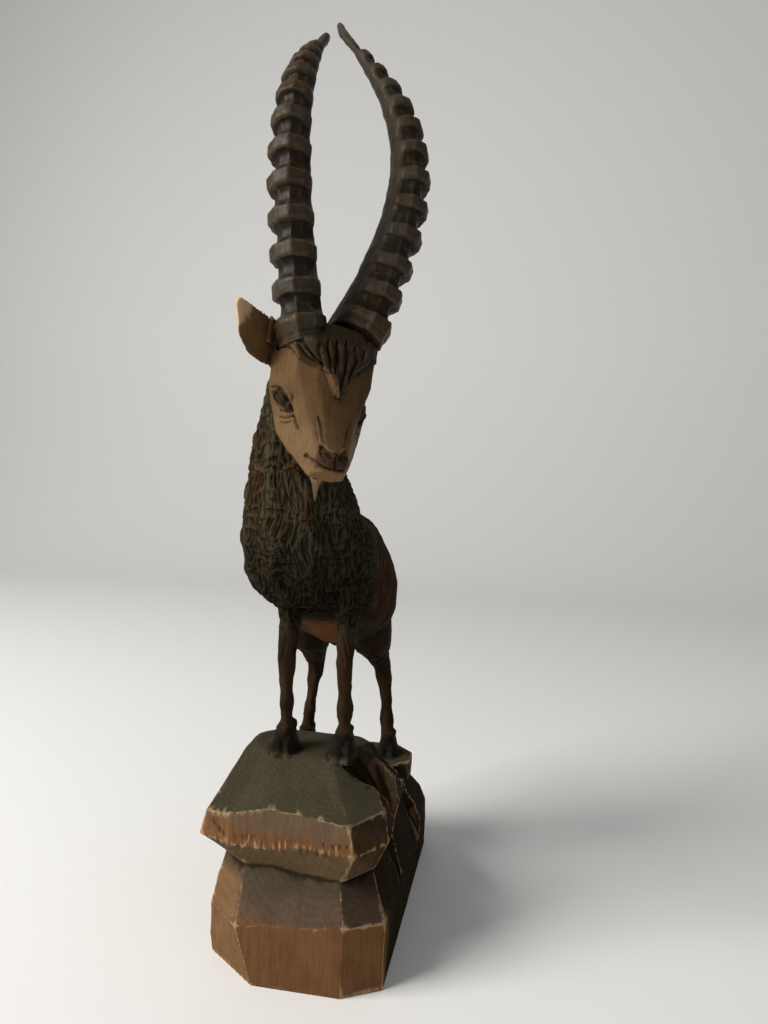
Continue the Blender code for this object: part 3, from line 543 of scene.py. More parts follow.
def carve_trunk(points, zones, drift, sizes):
    """The flank: long fine gouge strokes that fall from the back, over wide flat cuts, and the painted
    shade of the strokes' grooves.
    """
    mask = zones.trunk
    around = points[:, 1] * 0.80 + np.abs(points[:, 0]) * 0.60 + drift[:, 0] * 0.004 + points[:, 2] * 0.10
    phase = (around / sizes.gouge_width + soft_noise(points / 0.02, 8) * 2.0) % 1.0
    strokes = np.abs(phase * 2.0 - 1.0) ** 1.6
    bent = points + drift * 0.006
    breaks = rise(0.30, 0.55, soft_noise(bent / np.array((0.006, 0.006, 0.030)), 9))
    breaks *= 1.0 - zones.belly
    flat = where(mask, hollow_cuts, bent, (0.0085, 0.0085, 0.024), 21, 0.7)
    move = mask * (sizes.gouge_depth * (strokes - 0.4) * breaks + sizes.cut_depth * (flat - 0.3))
    # The second part is painted shade in the strokes' grooves
    return move, mask * breaks * (1.0 - strokes) ** 2 * 0.8


def eased_points(mesh):
    """The block's points with the ears and the animal's edges softened, and with the beard slimmed."""
    points = points_of(mesh)
    edges = edges_of(mesh)
    zones = CarvingZones(points)
    across, _, up = zones.head.T
    soft = np.clip(zones.neck * 0.9 + zones.trunk * 0.8 + zones.legs * 0.25, 0.0, 0.9)
    points = points + (averaged(points, edges, 14) - points) * soft[:, None]
    ear_root = rise(0.0185, 0.0205, -across) * band(-0.020, -0.0035, 0.002, up)
    ears = np.clip((zones.ear + zones.left_ear + ear_root) * 1.4, 0.0, 1.0)
    points = points + (averaged(evened(points, edges, 24), edges, 8) - points) * ears[:, None]
    slimmer = -BEARD_SLIMMING * (across - zones.beard_line) * zones.beard
    slimmer *= rise(BEARD_TOP, -0.0650, up)
    return points + slimmer[:, None] * np.array(head_matrix().to_3x3().col[0])


def carve_legs(move, points, zones, depth):
    """Add the legs' knife cuts to the moves, with a knee and a slimmer shin on each front leg."""
    legs = zones.legs * (1.0 - zones.trunk)
    cuts = where(legs, hollow_cuts, points, (0.0036, 0.0036, 0.0120), 31, 0.9)
    move += legs * depth * 1.10 * (cuts - 0.3)
    knee = band(0.1215, 0.1285, 0.0026, points[:, 2])
    shin = band(0.1110, 0.1175, 0.0026, points[:, 2])
    move += (knee * 0.0007 - shin * 0.0003) * ((points[:, 1] < 0.015) * legs)


def carve_head(move, points, normals, zones, depth):
    """Add the face's flat cuts, the forelock's strands and the knife strokes to the moves."""
    lock = forelock_mask(zones)
    face = zones.skull * (1.0 - lock)
    facets = where(face, hollow_cuts, points, (0.0085, 0.0085, 0.0125), 41, 0.8)
    strands = where(lock, hollow_cuts, points, (0.0026, 0.0026, 0.0110), 43, 0.4)
    move += face * depth * 0.75 * (facets - 0.3)
    move += lock * (0.0007 + 0.0006 * strands)
    move += cut_face(zones, normals) * np.clip(zones.skull * 1.2 + zones.neck * 0.2, 0.0, 1.0)


def carve_rock(move, points, normals, zones, drift, depth):
    """Add the rock's flat cuts, saw marks and splintered ledge to the moves."""
    cuts = where(zones.rock, hollow_cuts, points + drift * 0.004, (0.019, 0.019, 0.017), 51, 0.8)
    facing_front = rise(0.25, 0.6, np.abs(normals[:, 1]) + normals[:, 2] * 0.5)
    move += zones.rock * depth * (1.05 - 0.60 * facing_front) * (cuts - 0.3)
    saw_marks = np.sin(points[:, 0] / 0.0012 + drift[:, 0] * 9.0)
    saw_marks *= soft_noise(points / np.array((0.003, 0.01, 0.03)), 14)
    move += zones.rock * 0.00006 * saw_marks
    splinter = band(LEDGE_LOW - 0.0025, LEDGE_LOW + 0.0045, 0.0010, points[:, 2])
    splinter *= (normals[:, 1] < -0.5) * zones.rock
    chips = where(splinter, hollow_cuts, points, (0.0016, 0.0060, 0.0060), 61, 0.6)
    move -= splinter * 0.0006 * np.clip(0.5 - chips, 0.0, 0.5)


def carve_block(mesh, sizes):
    """Cut the block's surface: coat, flank, legs, face and rock, each with its own tool marks, and store
    the painted shade of the coat's and flank's grooves.
    """
    points = eased_points(mesh)
    set_points(mesh, points)
    normals = normals_of(mesh)
    zones = CarvingZones(points)
    for name, axis in (("facing_up", 2), ("facing_right", 0), ("facing_back", 1)):
        store(mesh, name, normals[:, axis])
    drift = np.stack([soft_noise(points / 0.013, seed) - 0.5 for seed in (3, 4, 5)], axis=1)
    move, coat_groove_shade = carve_coat(points, zones, drift, sizes)
    trunk_move, trunk_groove_shade = carve_trunk(points, zones, drift, sizes)
    move += trunk_move
    # The grooves' painted shade is stored as groove
    store(mesh, "groove", coat_groove_shade + trunk_groove_shade)
    carve_legs(move, points, zones, sizes.cut_depth)
    carve_head(move, points, normals, zones, sizes.cut_depth)
    carve_rock(move, points, normals, zones, drift, sizes.cut_depth)
    above_floor = rise(0.0, 0.001, points[:, 2])
    set_points(mesh, points + normals * (move * above_floor)[:, None])


def eye_mask(zones):
    """1 in the almond of each eye."""
    total = np.zeros(len(zones.points))
    for route, axis in both_sides(EYE_SLIT):
        distance, depth, place = near_path(zones.head, route, axis)
        half_width = 0.0022 * np.sqrt(np.clip(np.minimum(place, 1.0 - place) * 2.2 + 0.12, 0.0, 1.0))
        inside = fall(-0.0004, 0.0004, distance - half_width)
        total = np.maximum(total, inside * (np.abs(depth) < 0.007))
    return total


class StainBrush:
    """The stain of each point of the block, laid on tone over tone."""

    def __init__(self, mesh, palette):
        self.points = points_of(mesh)
        self.normals = normals_of(mesh)
        self.zones = CarvingZones(self.points)
        self.facing = {name: read(mesh, "facing_" + name) for name in ("up", "right", "back")}
        self.wander = soft_noise(self.points / 0.012, 71) - 0.5
        self.fine = soft_noise(self.points / np.array((0.003, 0.003, 0.012)), 72) - 0.5
        self.palette = palette
        self.colour = np.tile(np.array(palette.dark_stain), (len(self.points), 1))

    def lay(self, mask, name):
        """Brush one tone of the palette over the stain where the mask is 1."""
        tone_here = np.array(getattr(self.palette, name))
        self.colour = self.colour + (tone_here - self.colour) * np.clip(mask, 0.0, 1.0)[:, None]

    def stain_body(self):
        """The trunk, the legs and the coat of neck and chest."""
        zones, wander, fine = self.zones, self.wander, self.fine
        x, y, z = self.points.T
        uneven_z = z + wander * 0.002
        self.lay(zones.trunk, "flank")
        self.lay(zones.legs, "legs")
        self.lay(zones.legs * rise(0.05, 0.22, wander + fine * 0.8) * 0.85, "legs_red")
        self.lay(zones.legs * rise(0.02, 0.20, -wander - fine * 0.8) * 0.70, "dark_stain")
        # Painted shade: the thigh is darkened with the dark stain
        thigh_shade = rise(0.020, 0.032, y) * rise(0.150, 0.135, uneven_z)
        self.lay(zones.trunk * thigh_shade * 0.6, "dark_stain")
        under = rise(0.10, 0.35, -self.normals[:, 2]) * band(-0.022, 0.030, 0.003, y)
        under *= band(0.119, 0.165, 0.003, z) * band(-0.016, 0.006, 0.0015, x + wander * 0.004)
        self.lay(under * zones.trunk, "belly")
        self.lay(zones.neck, "coat")
        self.lay(zones.neck * rise(0.08, 0.28, wander + fine * 0.5) * 0.75, "coat_warm")
        below = rise(0.176, 0.158, z + wander * 0.012) * rise(0.030, 0.014, np.abs(x))
        self.lay(zones.neck * rise(0.205, 0.170, z + wander * 0.02), "chest")
        self.lay(zones.neck * below * 0.75, "dark_stain")

    def stain_head(self):
        """The face, the forelock, the ears, the eyes and the beard."""
        zones = self.zones
        across, back, up = zones.head.T
        aside = np.abs(across)
        self.lay(zones.skull, "face")
        self.lay(zones.skull * rise(-0.034, -0.048, up) * 0.75, "muzzle")
        cheek = rise(0.0075, 0.0125, aside) * rise(-0.030, -0.040, up)
        self.lay(zones.skull * cheek * 0.6, "muzzle")
        bridge = rise(0.0095, 0.0060, aside) * band(-0.048, -0.026, 0.003, up)
        self.lay(zones.skull * bridge * 0.55, "bridge")
        # Painted shade, with some darker stain: the brow and cheek on the animal's left are darker
        shaded = rise(0.004, 0.013, across) * rise(-0.046, -0.034, up)
        self.lay(zones.skull * shaded * 0.75, "brow")
        self.lay(forelock_mask(zones), "forelock")
        self.lay(zones.ear, "ear")
        self.lay(zones.left_ear * zones.animal, "ear")
        tip = rise(0.0355, 0.0365, -across + (up + 0.002) * 0.45 + self.fine * 0.001)
        self.lay(tip * zones.ear, "ear_tip")
        nose_pad = rise(-0.0505, -0.0520, up) * rise(-0.0595, -0.0575, up)
        nose_pad *= rise(-0.0268, -0.0285, back)
        self.lay(nose_pad * zones.skull * 0.80, "nose")
        self.lay(eye_mask(zones) * 0.85, "eye")
        self.lay(rise(-0.0565, -0.0590, up) * zones.skull * 0.5 * (1.0 - nose_pad), "chin")
        self.lay(zones.beard * rise(-0.0615, -0.0645, up), "beard")

    def stain_rock(self):
        """The rock: its slopes and cut faces, told apart by where they face and how high they lie. Some of
        these tones are painted light and shade.
        """
        rock, wander = self.zones.rock, self.wander
        x, y, z = self.points.T
        up, right, back = (self.facing[name] for name in ("up", "right", "back"))
        sloping = rise(0.18, 0.28, up)
        hanging = rise(-0.10, -0.20, up)
        upright = (1.0 - sloping) * (1.0 - hanging)
        self.lay(rock, "rock_top")
        self.lay(rock * rise(-0.15, -0.45, right) * sloping * (z > 0.062) * 0.6, "rock_shade")
        jagged = LEDGE_LOW + 0.0062 + wander * 0.0030 + self.fine * 0.0030 - (x + 0.02) * 0.05
        left_end = rise(-0.45, -0.65, right) * (y < -0.040)
        end_cut = fall(0.46, 0.54, up) * (1.0 - hanging) * (z < 0.0665) * (x < -0.030)
        ledge = np.maximum(np.maximum(upright, left_end), end_cut) * band(0.048, 0.080, 0.0008, z) * rock
        self.lay(ledge, "ledge_top")
        self.lay(ledge * fall(-0.0004, 0.0004, z - jagged), "ledge")
        self.lay(hanging * (1.0 - left_end) * band(0.030, 0.075, 0.0008, z) * rock, "under_ledge")
        waist = sloping * fall(0.0475, 0.0495, z) * rock
        self.lay(waist, "waist")
        self.lay(waist * rise(0.033, 0.043, z + wander * 0.006) * 0.7, "rock_top")
        # Painted shade: the waist is darker where it faces right
        self.lay(waist * rise(0.15, 0.35, right) * 0.55, "rock_right_shade")
        lower = fall(0.40, 0.50, up) * fall(0.030, 0.032, z) * rock
        self.lay(lower, "lower_face")
        # Painted light: the foot's faces and cut corner turned to the left are paler
        self.lay(lower * rise(-0.25, -0.60, right) * 0.6, "lower_left_lit")
        cut_corner = rise(-0.40, -0.52, right) * (up > -0.35) * (up < 0.55)
        cut_corner *= fall(0.038, 0.044, z + wander * 0.004)
        self.lay(cut_corner * rock * 0.85, "lower_left_lit")
        # Painted shade: the faces turned to the right and the scoop are darker
        flank = rise(0.55, 0.80, right) * rock
        self.lay(flank * (1.0 - lower * rise(-0.050, -0.064, y)), "rock_right_shade")
        scoop_shade = rise(0.30, 0.50, right) * rise(-0.35, -0.20, back) * (z > 0.055)
        self.lay(scoop_shade * rock, "rock_right_shade")


def stain_block(mesh, palette):
    """Store the stain of each point of the block, with its painted light and shade, and how polished and
    how rocky it is.
    """
    brush = StainBrush(mesh, palette)
    zones = brush.zones
    brush.stain_body()
    brush.stain_head()
    # A hoof is stained before the rock it stands on, so that none of its tone is left there
    brush.lay(zones.hoof, "hooves")
    brush.stain_rock()
    layer = mesh.color_attributes.new("stain", "FLOAT_COLOR", "POINT")
    colours = np.hstack((brush.colour, np.ones((len(brush.points), 1))))
    layer.data.foreach_set("color", colours.reshape(-1).astype(np.float32))
    store(mesh, "polish", np.clip(zones.hoof * 0.05 + zones.legs * 0.01 + zones.skull * 0.10, 0.0, 1.0))
    store(mesh, "rocky", zones.rock)


def horn_line(side):
    """Points along the middle of a horn, in the head's frame."""
    step = side * HORN_STEP
    handles = np.array((
        (side * HORN_ROOT_SPACING / 2, 0.0, step),
        (side * HORN_SPREAD, HORN_SWEEP * 0.012, HORN_HEIGHT * 0.511),
        (side * HORN_SPREAD * 0.735, HORN_SWEEP * 0.205, HORN_HEIGHT * 0.667),
        (side * 0.0016, HORN_SWEEP, HORN_HEIGHT + step),
    ))
    share = np.linspace(0.0, 1.0, 121)[:, None]
    rest = 1.0 - share
    return (
        handles[0] * rest ** 3 + handles[1] * (3 * rest ** 2 * share) + handles[2] * (3 * rest * share ** 2)
        + handles[3] * share ** 3
    )


def along_horn(points, side):
    """How far along its horn each point lies, from 0 to 1, and its direction from the middle line."""
    places = in_head(points)
    line = horn_line(side)
    runs = np.diff(line, axis=0)
    lengths = np.linalg.norm(runs, axis=1)
    walk = np.concatenate(((0.0,), np.cumsum(lengths)))
    best = np.full(len(points), 1e9)
    share = np.zeros(len(points))
    away = np.zeros((len(points), 3))
    for number, run in enumerate(runs):
        offset = places - line[number]
        part = np.clip(offset @ run / lengths[number] ** 2, 0.0, 1.0)
        across = offset - np.outer(part, run)
        distance = (across ** 2).sum(axis=1)
        nearer = distance < best
        best = np.where(nearer, distance, best)
        share = np.where(nearer, (walk[number] + part * lengths[number]) / walk[-1], share)
        away[nearer] = across[nearer]
    return share, away / np.sqrt(best)[:, None], walk[-1]


def carve_horn(mesh, side, sizes):
    """Sharpen the knobs, hollow the grooves between them, and cut flat facets along the horn. Give back the
    painted shade of the hollows, under the plates and on the inner side.
    """
    points = points_of(mesh)
    edges = edges_of(mesh)
    share, away, length = along_horn(points, side)
    inner = rise(0.15, -0.45, away[:, 0] * side) * rise(0.01, 0.05, share)
    points = points + (averaged(points, edges, 40) - points) * inner[:, None]
    tip = rise(0.84, 0.96, share)
    hook = (side > 0) * rise(0.955, 1.0, share)
    points = points + hook[:, None] * np.array((0.0013, 0.0, 0.0004))
    set_points(mesh, points)
    knob_end = 1.0 - SMOOTH_TIP_LENGTH / length
    lean = soft_noise(points / 0.006, 83) - 0.5
    place = share / knob_end * KNOB_COUNT + lean * 0.10
    number = np.floor(place)
    phase = place - number
    own = random_of(np.stack((number, number * 0.0 + side, number * 0.0), axis=1), 84)
    plate_end = 0.34 + own[:, 0] * 0.12
    plate = rise(0.00, 0.030, phase) * fall(-0.02, 0.02, phase - plate_end)
    hollow = np.sin(np.clip((phase - plate_end) / (1.0 - plate_end), 0.0, 1.0) * math.pi) ** 0.7
    outer = rise(-0.30, 0.15, away[:, 0] * side * 0.75 - away[:, 1] * 0.65)
    outer *= fall(0.97, 1.0, place / KNOB_COUNT) * rise(0.0, 0.02, share)
    thickness = 1.0 - 0.55 * share
    move = outer * thickness * (0.00060 * plate - (0.0008 + 0.0006 * own[:, 1]) * hollow)
    cuts = hollow_cuts(points, (0.0062, 0.0062, 0.0058), 81, 0.9)
    narrow = hollow_cuts(points, (0.0030, 0.0030, 0.0140), 82)
    move += sizes.cut_depth * (0.55 * cuts + 0.26 * narrow - 0.23) * (1.0 - 0.4 * share)
    move += inner * 0.0003 + tip * (0.0006 if side > 0 else 0.0010)
    set_points(mesh, points + normals_of(mesh) * move[:, None])
    # Painted shade in the hollows, below each plate and on the inner side of the horn
    under_plate_shade = band(plate_end - 0.02, plate_end + 0.16, 0.03, phase) * outer
    return outer * hollow * 0.42 + under_plate_shade * 0.35 + inner * 0.15


def mark_wear_and_shade(mesh, reach, softness, extra_shade=0.0):
    """Store how rubbed each point is, and as painted shade how deep it lies, from the ridges and grooves
    around it and the extra painted shade given.
    """
    small = bulge(mesh, 2)
    wide = bulge(mesh, 14)
    rubbed = np.clip(small / (reach * 0.10) - 0.25, 0.0, 1.0)
    store(mesh, "rubbed", rubbed * softness)
    # Painted shade: darker in grooves and hollows, with the extra painted shade added
    deep = -small / (reach * 0.12) * 0.4 - wide / (reach * 0.6) * 0.9 + extra_shade
    store(mesh, "deep", np.clip(deep, 0.0, 1.0))


def rubbed_and_highlight_share(points):
    """How much wear each part of the block shows: most on the rock's edges, little on the animal. On the
    coat of neck and chest the paler ridges are partly painted highlight.
    """
    zones = CarvingZones(points)
    low = fall(0.070, 0.085, points[:, 2])
    share = zones.rock * (0.35 + 0.65 * low) + zones.neck * 0.30 + zones.trunk * 0.06 + zones.skull * 0.40
    return np.clip(share + (zones.ear + zones.left_ear) * 0.35 + zones.legs * 0.12, 0.0, 1.0)


# Materials


class NodeBench:
    """Adds nodes to a material and links them in one line each."""

    def __init__(self, material):
        material.use_nodes = True
        self.tree = material.node_tree
        self.shader = self.tree.nodes["Principled BSDF"]

    def add(self, kind, settings=None, **values):
        """A node with its settings and the values of its inputs by name. An output there is linked."""
        node = self.tree.nodes.new(kind)
        for name, value in (settings or {}).items():
            setattr(node, name, value)
        for name, value in values.items():
            self.put(node.inputs[name.replace("_", " ")], value)
        return node

    def put(self, socket, value):
        """Set a socket to a value, or link it to an output."""
        if isinstance(value, bpy.types.NodeSocket):
            self.tree.links.new(value, socket)
        else:
            socket.default_value = value

    def stored(self, name, output="Fac"):
        """A number or a colour that is stored on the mesh."""
        return self.add("ShaderNodeAttribute", {"attribute_name": name}).outputs[output]

    def noise(self, place, scale, detail, roughness):
        """Noise of a scale, from 0 to 1."""
        node = self.add("ShaderNodeTexNoise", Vector=place, Scale=scale, Detail=detail, Roughness=roughness)
        return node.outputs["Fac"]

    def math(self, operation, first, second):
        """One sum on two numbers."""
        node = self.tree.nodes.new("ShaderNodeMath")
        node.operation = operation
        self.put(node.inputs[0], first)
        self.put(node.inputs[1], second)
        return node.outputs[0]

    def mix(self, share, first, second, blend="MIX"):
        """Two colours mixed."""
        node = self.tree.nodes.new("ShaderNodeMix")
        node.data_type = "RGBA"
        node.blend_type = blend
        self.put(node.inputs["Factor"], share)
        self.put(node.inputs["A"], first)
        self.put(node.inputs["B"], second)
        return node.outputs["Result"]

    def tinted(self, share, colour, tint):
        """A colour that goes over to itself times a tint as share goes from 0 to 1."""
        return self.mix(share, colour, self.mix(1.0, colour, opaque(tint), "MULTIPLY"))

    def ramp(self, share, low, high, bottom=0.0, top=1.0):
        """A number from bottom to top as share goes from low to high."""
        node = self.tree.nodes.new("ShaderNodeMapRange")
        node.interpolation_type = "SMOOTHSTEP"
        self.put(node.inputs["Value"], share)
        for name, value in (("From Min", low), ("From Max", high), ("To Min", bottom), ("To Max", top)):
            node.inputs[name].default_value = value
        return node.outputs["Result"]


def opaque(colour):
    """A colour with its alpha."""
    return (*colour, 1.0)


def stained_wood(name, palette, grain_size, roughness, base):
    """Carved lime wood under stain: upright grain, patchy stain, rubbed ridges and painted shade in the
    grooves.
    """
    material = bpy.data.materials.new(name)
    bench = NodeBench(material)
    place = bench.add("ShaderNodeTexCoord").outputs["Object"]
    upright = bench.add("ShaderNodeMapping", Vector=place, Scale=(1.0, 1.0, 0.085)).outputs[0]
    fibres = bench.noise(upright, 1.0 / grain_size, 5.0, 0.62)
    about_the_pith = bench.add("ShaderNodeMapping", Vector=place, Location=(-0.012, 0.016, 0.0)).outputs[0]
    rings = bench.add(
        "ShaderNodeTexWave", {"wave_type": "RINGS", "rings_direction": "Z", "wave_profile": "SAW"},
        Vector=about_the_pith, Scale=170.0, Distortion=3.0,
        Detail=2.0, Detail_Scale=9.0, Detail_Roughness=0.5,
    ).outputs["Fac"]
    patches = bench.noise(place, 95.0, 3.0, 0.55)
    specks = bench.noise(place, 900.0, 2.0, 0.6)
    ring_share = bench.ramp(bench.stored("rocky"), 0.0, 1.0, 0.10, 0.26)
    ring_share = bench.math("MULTIPLY", bench.ramp(rings, 0.55, 1.0), ring_share)
    stain = base(bench, palette)
    streaked = bench.tinted(bench.ramp(fibres, 0.38, 0.66, 0.0, 0.40), stain, (0.56, 0.54, 0.50))
    ringed = bench.tinted(ring_share, streaked, (0.50, 0.47, 0.44))
    blotched = bench.tinted(bench.ramp(patches, 0.35, 0.70, 0.0, 0.40), ringed, (0.66, 0.66, 0.68))
    # Painted shade: the stain is darkened where the stored depth is high
    deep = bench.ramp(bench.stored("deep"), 0.05, 0.85, 0.0, 0.80)
    shaded = bench.tinted(deep, blotched, (0.26, 0.24, 0.22))
    rubbed = bench.ramp(bench.stored("rubbed"), 0.36, 0.92)
    broken = bench.math("MULTIPLY", rubbed, bench.ramp(specks, 0.30, 0.62, 0.55, 1.0))
    paler = bench.tinted(1.0, blotched, (1.9, 1.85, 1.75))
    worn = bench.mix(bench.math("MULTIPLY", broken, 0.60), paler, opaque(palette.bare_wood))
    colour = bench.mix(bench.math("MULTIPLY", broken, 0.85), shaded, worn)
    polish = bench.stored("polish")
    dull = bench.ramp(fibres, 0.3, 0.7, roughness - 0.08, roughness + 0.10)
    # The stain is matt: only what is polished mirrors a little of the pale room
    gloss = bench.math("ADD", bench.math("MULTIPLY", polish, 0.42), 0.004)
    height = bench.math("ADD", bench.math("MULTIPLY", fibres, 0.7), bench.math("MULTIPLY", specks, 0.25))
    bump = bench.add("ShaderNodeBump", Strength=0.40, Distance=0.00030, Height=height)
    for socket, value in (
        ("Base Color", colour),
        ("Roughness", bench.math("SUBTRACT", dull, bench.math("MULTIPLY", polish, 0.18))),
        ("Specular IOR Level", gloss),
        ("Normal", bump.outputs[0]),
    ):
        bench.put(bench.shader.inputs[socket], value)
    return material


def block_stain(bench, palette):
    """The block's stain is painted on its mesh, part by part."""
    return bench.stored("stain", "Color")


def horn_stain(bench, palette):
    """Grey olive with brown patches, for the horns."""
    place = bench.add("ShaderNodeTexCoord").outputs["Object"]
    patches = bench.ramp(bench.noise(place, 70.0, 3.0, 0.6), 0.42, 0.66)
    return bench.mix(patches, opaque(palette.horn), opaque(palette.horn_warm))


# What a user may change


def length(name, description, default):
    """A length that a user may change."""
    return bpy.props.FloatProperty(name=name, description=description, default=default, unit="LENGTH")


def angle(name, description, degrees):
    """An angle that a user may change."""
    default = math.radians(degrees)
    return bpy.props.FloatProperty(name=name, description=description, default=default, unit="ROTATION")


def power(name, description, default):
    """A lamp's power that a user may change."""
    return bpy.props.FloatProperty(name=name, description=description, default=default, subtype="POWER")


class CarvingSizes(bpy.types.PropertyGroup):
    """Sizes of the tool marks and of the mesh that holds them."""

    block_voxel: length("Block mesh", "Edge of the small faces on the block", 0.00066)
    horn_voxel: length("Horn mesh", "Edge of the small faces on the horns", 0.00050)
    tuft_width: length("Tuft width", "Width of one lock of the coat", 0.0031)
    tuft_length: length("Tuft length", "Length of one lock of the coat", 0.0075)
    tuft_depth: length("Tuft depth", "How far a lock stands out", 0.00105)
    gouge_width: length("Gouge width", "Width of one long stroke on the flank", 0.0021)
    gouge_depth: length("Gouge depth", "Depth of one long stroke on the flank", 0.00042)
    cut_depth: length("Knife cut depth", "How deep the flat knife cuts are", 0.00110)


def tone(name, description, colour):
    """A colour that a user may change."""
    return bpy.props.FloatVectorProperty(
        name=name, description=description, default=colour, size=3, min=0.0, max=1.0, subtype="COLOR"
    )


class StainPalette(bpy.types.PropertyGroup):
    """The stains, some of which are painted light and shade, and the bare wood."""

    dark_stain: tone("Dark stain", "Wood where nothing else is laid on", (0.018, 0.013, 0.008))
    coat: tone("Coat", "Neck", (0.054, 0.045, 0.026))
    coat_warm: tone("Warm coat", "Brown patches on the neck and chest", (0.050, 0.029, 0.014))
    chest: tone("Chest", "Chest between the shoulders", (0.030, 0.025, 0.015))
    flank: tone("Flank", "Trunk and thighs", (0.046, 0.026, 0.0125))
    belly: tone("Belly", "Bare patch under the trunk", (0.135, 0.050, 0.012))
    legs: tone("Legs", "Lower legs", (0.030, 0.0190, 0.0110))
    legs_red: tone("Red of the legs", "Red brown patches on the legs", (0.038, 0.0200, 0.0110))
    hooves: tone("Hooves", "Hooves", (0.0125, 0.0100, 0.0065))
    face: tone("Face", "Face", (0.116, 0.066, 0.029))
    # The brow tone is painted shade with some darker stain
    brow: tone("Brow", "Brow and cheek on the left side", (0.058, 0.033, 0.0155))
    bridge: tone("Bridge", "Bridge of the nose", (0.100, 0.054, 0.024))
    muzzle: tone("Muzzle", "Cheeks and muzzle", (0.160, 0.098, 0.044))
    chin: tone("Chin", "Chin and beard", (0.250, 0.150, 0.070))
    beard: tone("Beard", "Strip below the chin", (0.110, 0.075, 0.046))
    nose: tone("Nose", "Nose pad", (0.036, 0.021, 0.012))
    eye: tone("Eye", "Eyes", (0.014, 0.010, 0.008))
    forelock: tone("Forelock", "Tuft between the horns", (0.038, 0.026, 0.0135))
    ear: tone("Ear", "Ears", (0.175, 0.098, 0.041))
    ear_tip: tone("Ear tip", "Chipped tip of the ear", (0.620, 0.430, 0.250))
    bare_wood: tone("Bare wood", "Chipped and rubbed wood", (0.480, 0.330, 0.185))
    rock_top: tone("Rock top", "Top and slopes of the rock", (0.060, 0.052, 0.032))
    rock_shade: tone("Rock shade", "Left slope of the rock", (0.040, 0.035, 0.023))
    ledge_top: tone("Ledge top", "Cut chamfer of the ledge", (0.150, 0.096, 0.060))
    ledge: tone("Ledge", "Split edge of the ledge", (0.180, 0.088, 0.040))
    under_ledge: tone("Under the ledge", "Undercut of the ledge", (0.122, 0.083, 0.045))
    waist: tone("Waist", "Slope below the ledge", (0.100, 0.066, 0.047))
    lower_face: tone("Lower faces", "Sawn faces at the foot", (0.155, 0.078, 0.034))
    # Painted light for the foot's faces turned to the left
    lower_left_lit: tone("Lower left", "Left face at the foot", (0.190, 0.108, 0.052))
    # Painted shade for the faces turned to the right
    rock_right_shade: tone("Rock side", "Fluted right side", (0.021, 0.0135, 0.0065))
    horn: tone("Horn", "Horns", (0.045, 0.036, 0.023))
    horn_warm: tone("Horn warm", "Brown patches on the horns", (0.048, 0.026, 0.0125))


class StudioSettings(bpy.types.PropertyGroup):
    """The floor, the lights and the camera."""

    paper: tone("Paper", "Floor and backdrop", (0.80, 0.80, 0.79))
    sky_strength: bpy.props.FloatProperty(
        name="Sky", description="Strength of the even light", default=0.25
    )
    key_power: power("Key", "Power of the large lamp", 26.5)
    fill_power: power("Fill", "Power of the weak lamp", 1.2)
    camera_place: bpy.props.FloatVectorProperty(
        name="Camera", description="Where the camera stands", default=(0.090, -0.362, 0.216), unit="LENGTH"
    )
    camera_turn: angle("Turn", "How far the camera turns to its left", 10.54)
    camera_dip: angle("Dip", "How far the camera looks down", 3.57)
    camera_roll: angle("Roll", "How far the camera leans", 1.5)
    lens: bpy.props.FloatProperty(name="Lens", description="Focal length in millimetres", default=27.04)


# Operators


class CARVING_OT_block(bpy.types.Operator):
    """Dress the block: the ibex and the rock it stands on, which are one piece of wood"""

    bl_idname = "carving.block"
    bl_label = "Carve the block"

    def execute(self, context):
        sizes = context.scene.carving_sizes
        palette = context.scene.stain_palette
        voxel = sizes.block_voxel * 1.0
        piece = dense_copy("ibex_on_rock", "carved_ibex_on_rock", voxel, thin_parts)
        refine(piece, fine_parts)
        carve_block(piece.data, sizes)
        # The grooves' painted shade is added to the painted shade of depth
        mark_wear_and_shade(piece.data, voxel, rubbed_and_highlight_share(points_of(piece.data)), read(piece.data, "groove"))
        thin_out(piece, BLOCK_TRIANGLES)
        stain_block(piece.data, palette)
        piece.data.materials.append(stained_wood("Stained lime wood", palette, 0.0011, 0.56, block_stain))
        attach(piece, "root")
        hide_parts("ibex_on_rock")
        return {"FINISHED"}


class CARVING_OT_horns(bpy.types.Operator):
    """Dress the two horns, which are carved on their own and glued in"""

    bl_idname = "carving.horns"
    bl_label = "Carve the horns"

    def execute(self, context):
        sizes = context.scene.carving_sizes
        palette = context.scene.stain_palette
        voxel = sizes.horn_voxel * 1.0
        wood = stained_wood("Dark horn wood", palette, 0.0009, 0.46, horn_stain)
        for node, side in (("right_horn", -1), ("left_horn", 1)):
            piece = dense_copy(node, "carved_" + node, voxel)
            # The horn's painted shade goes in with the depth shade
            extra_shade = carve_horn(piece.data, side, sizes)
            mark_wear_and_shade(piece.data, voxel, HORN_WEAR_AND_HIGHLIGHT, extra_shade)
            thin_out(piece, HORN_TRIANGLES)
            store(piece.data, "polish", np.full(len(piece.data.vertices), HORN_POLISH))
            piece.data.materials.append(wood)
            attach(piece, "root")
            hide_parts(node)
        return {"FINISHED"}


class CARVING_OT_stage(bpy.types.Operator):
    """Lay the pale floor, hang the lights and place the camera"""

    bl_idname = "carving.stage"
    bl_label = "Set the stage"

    def execute(self, context):
        studio = context.scene.studio_settings
        lay_paper(studio)
        hang_lights(context.scene, studio)
        place_camera(context.scene, studio)
        context.scene.view_settings.view_transform = "Standard"
        return {"FINISHED"}


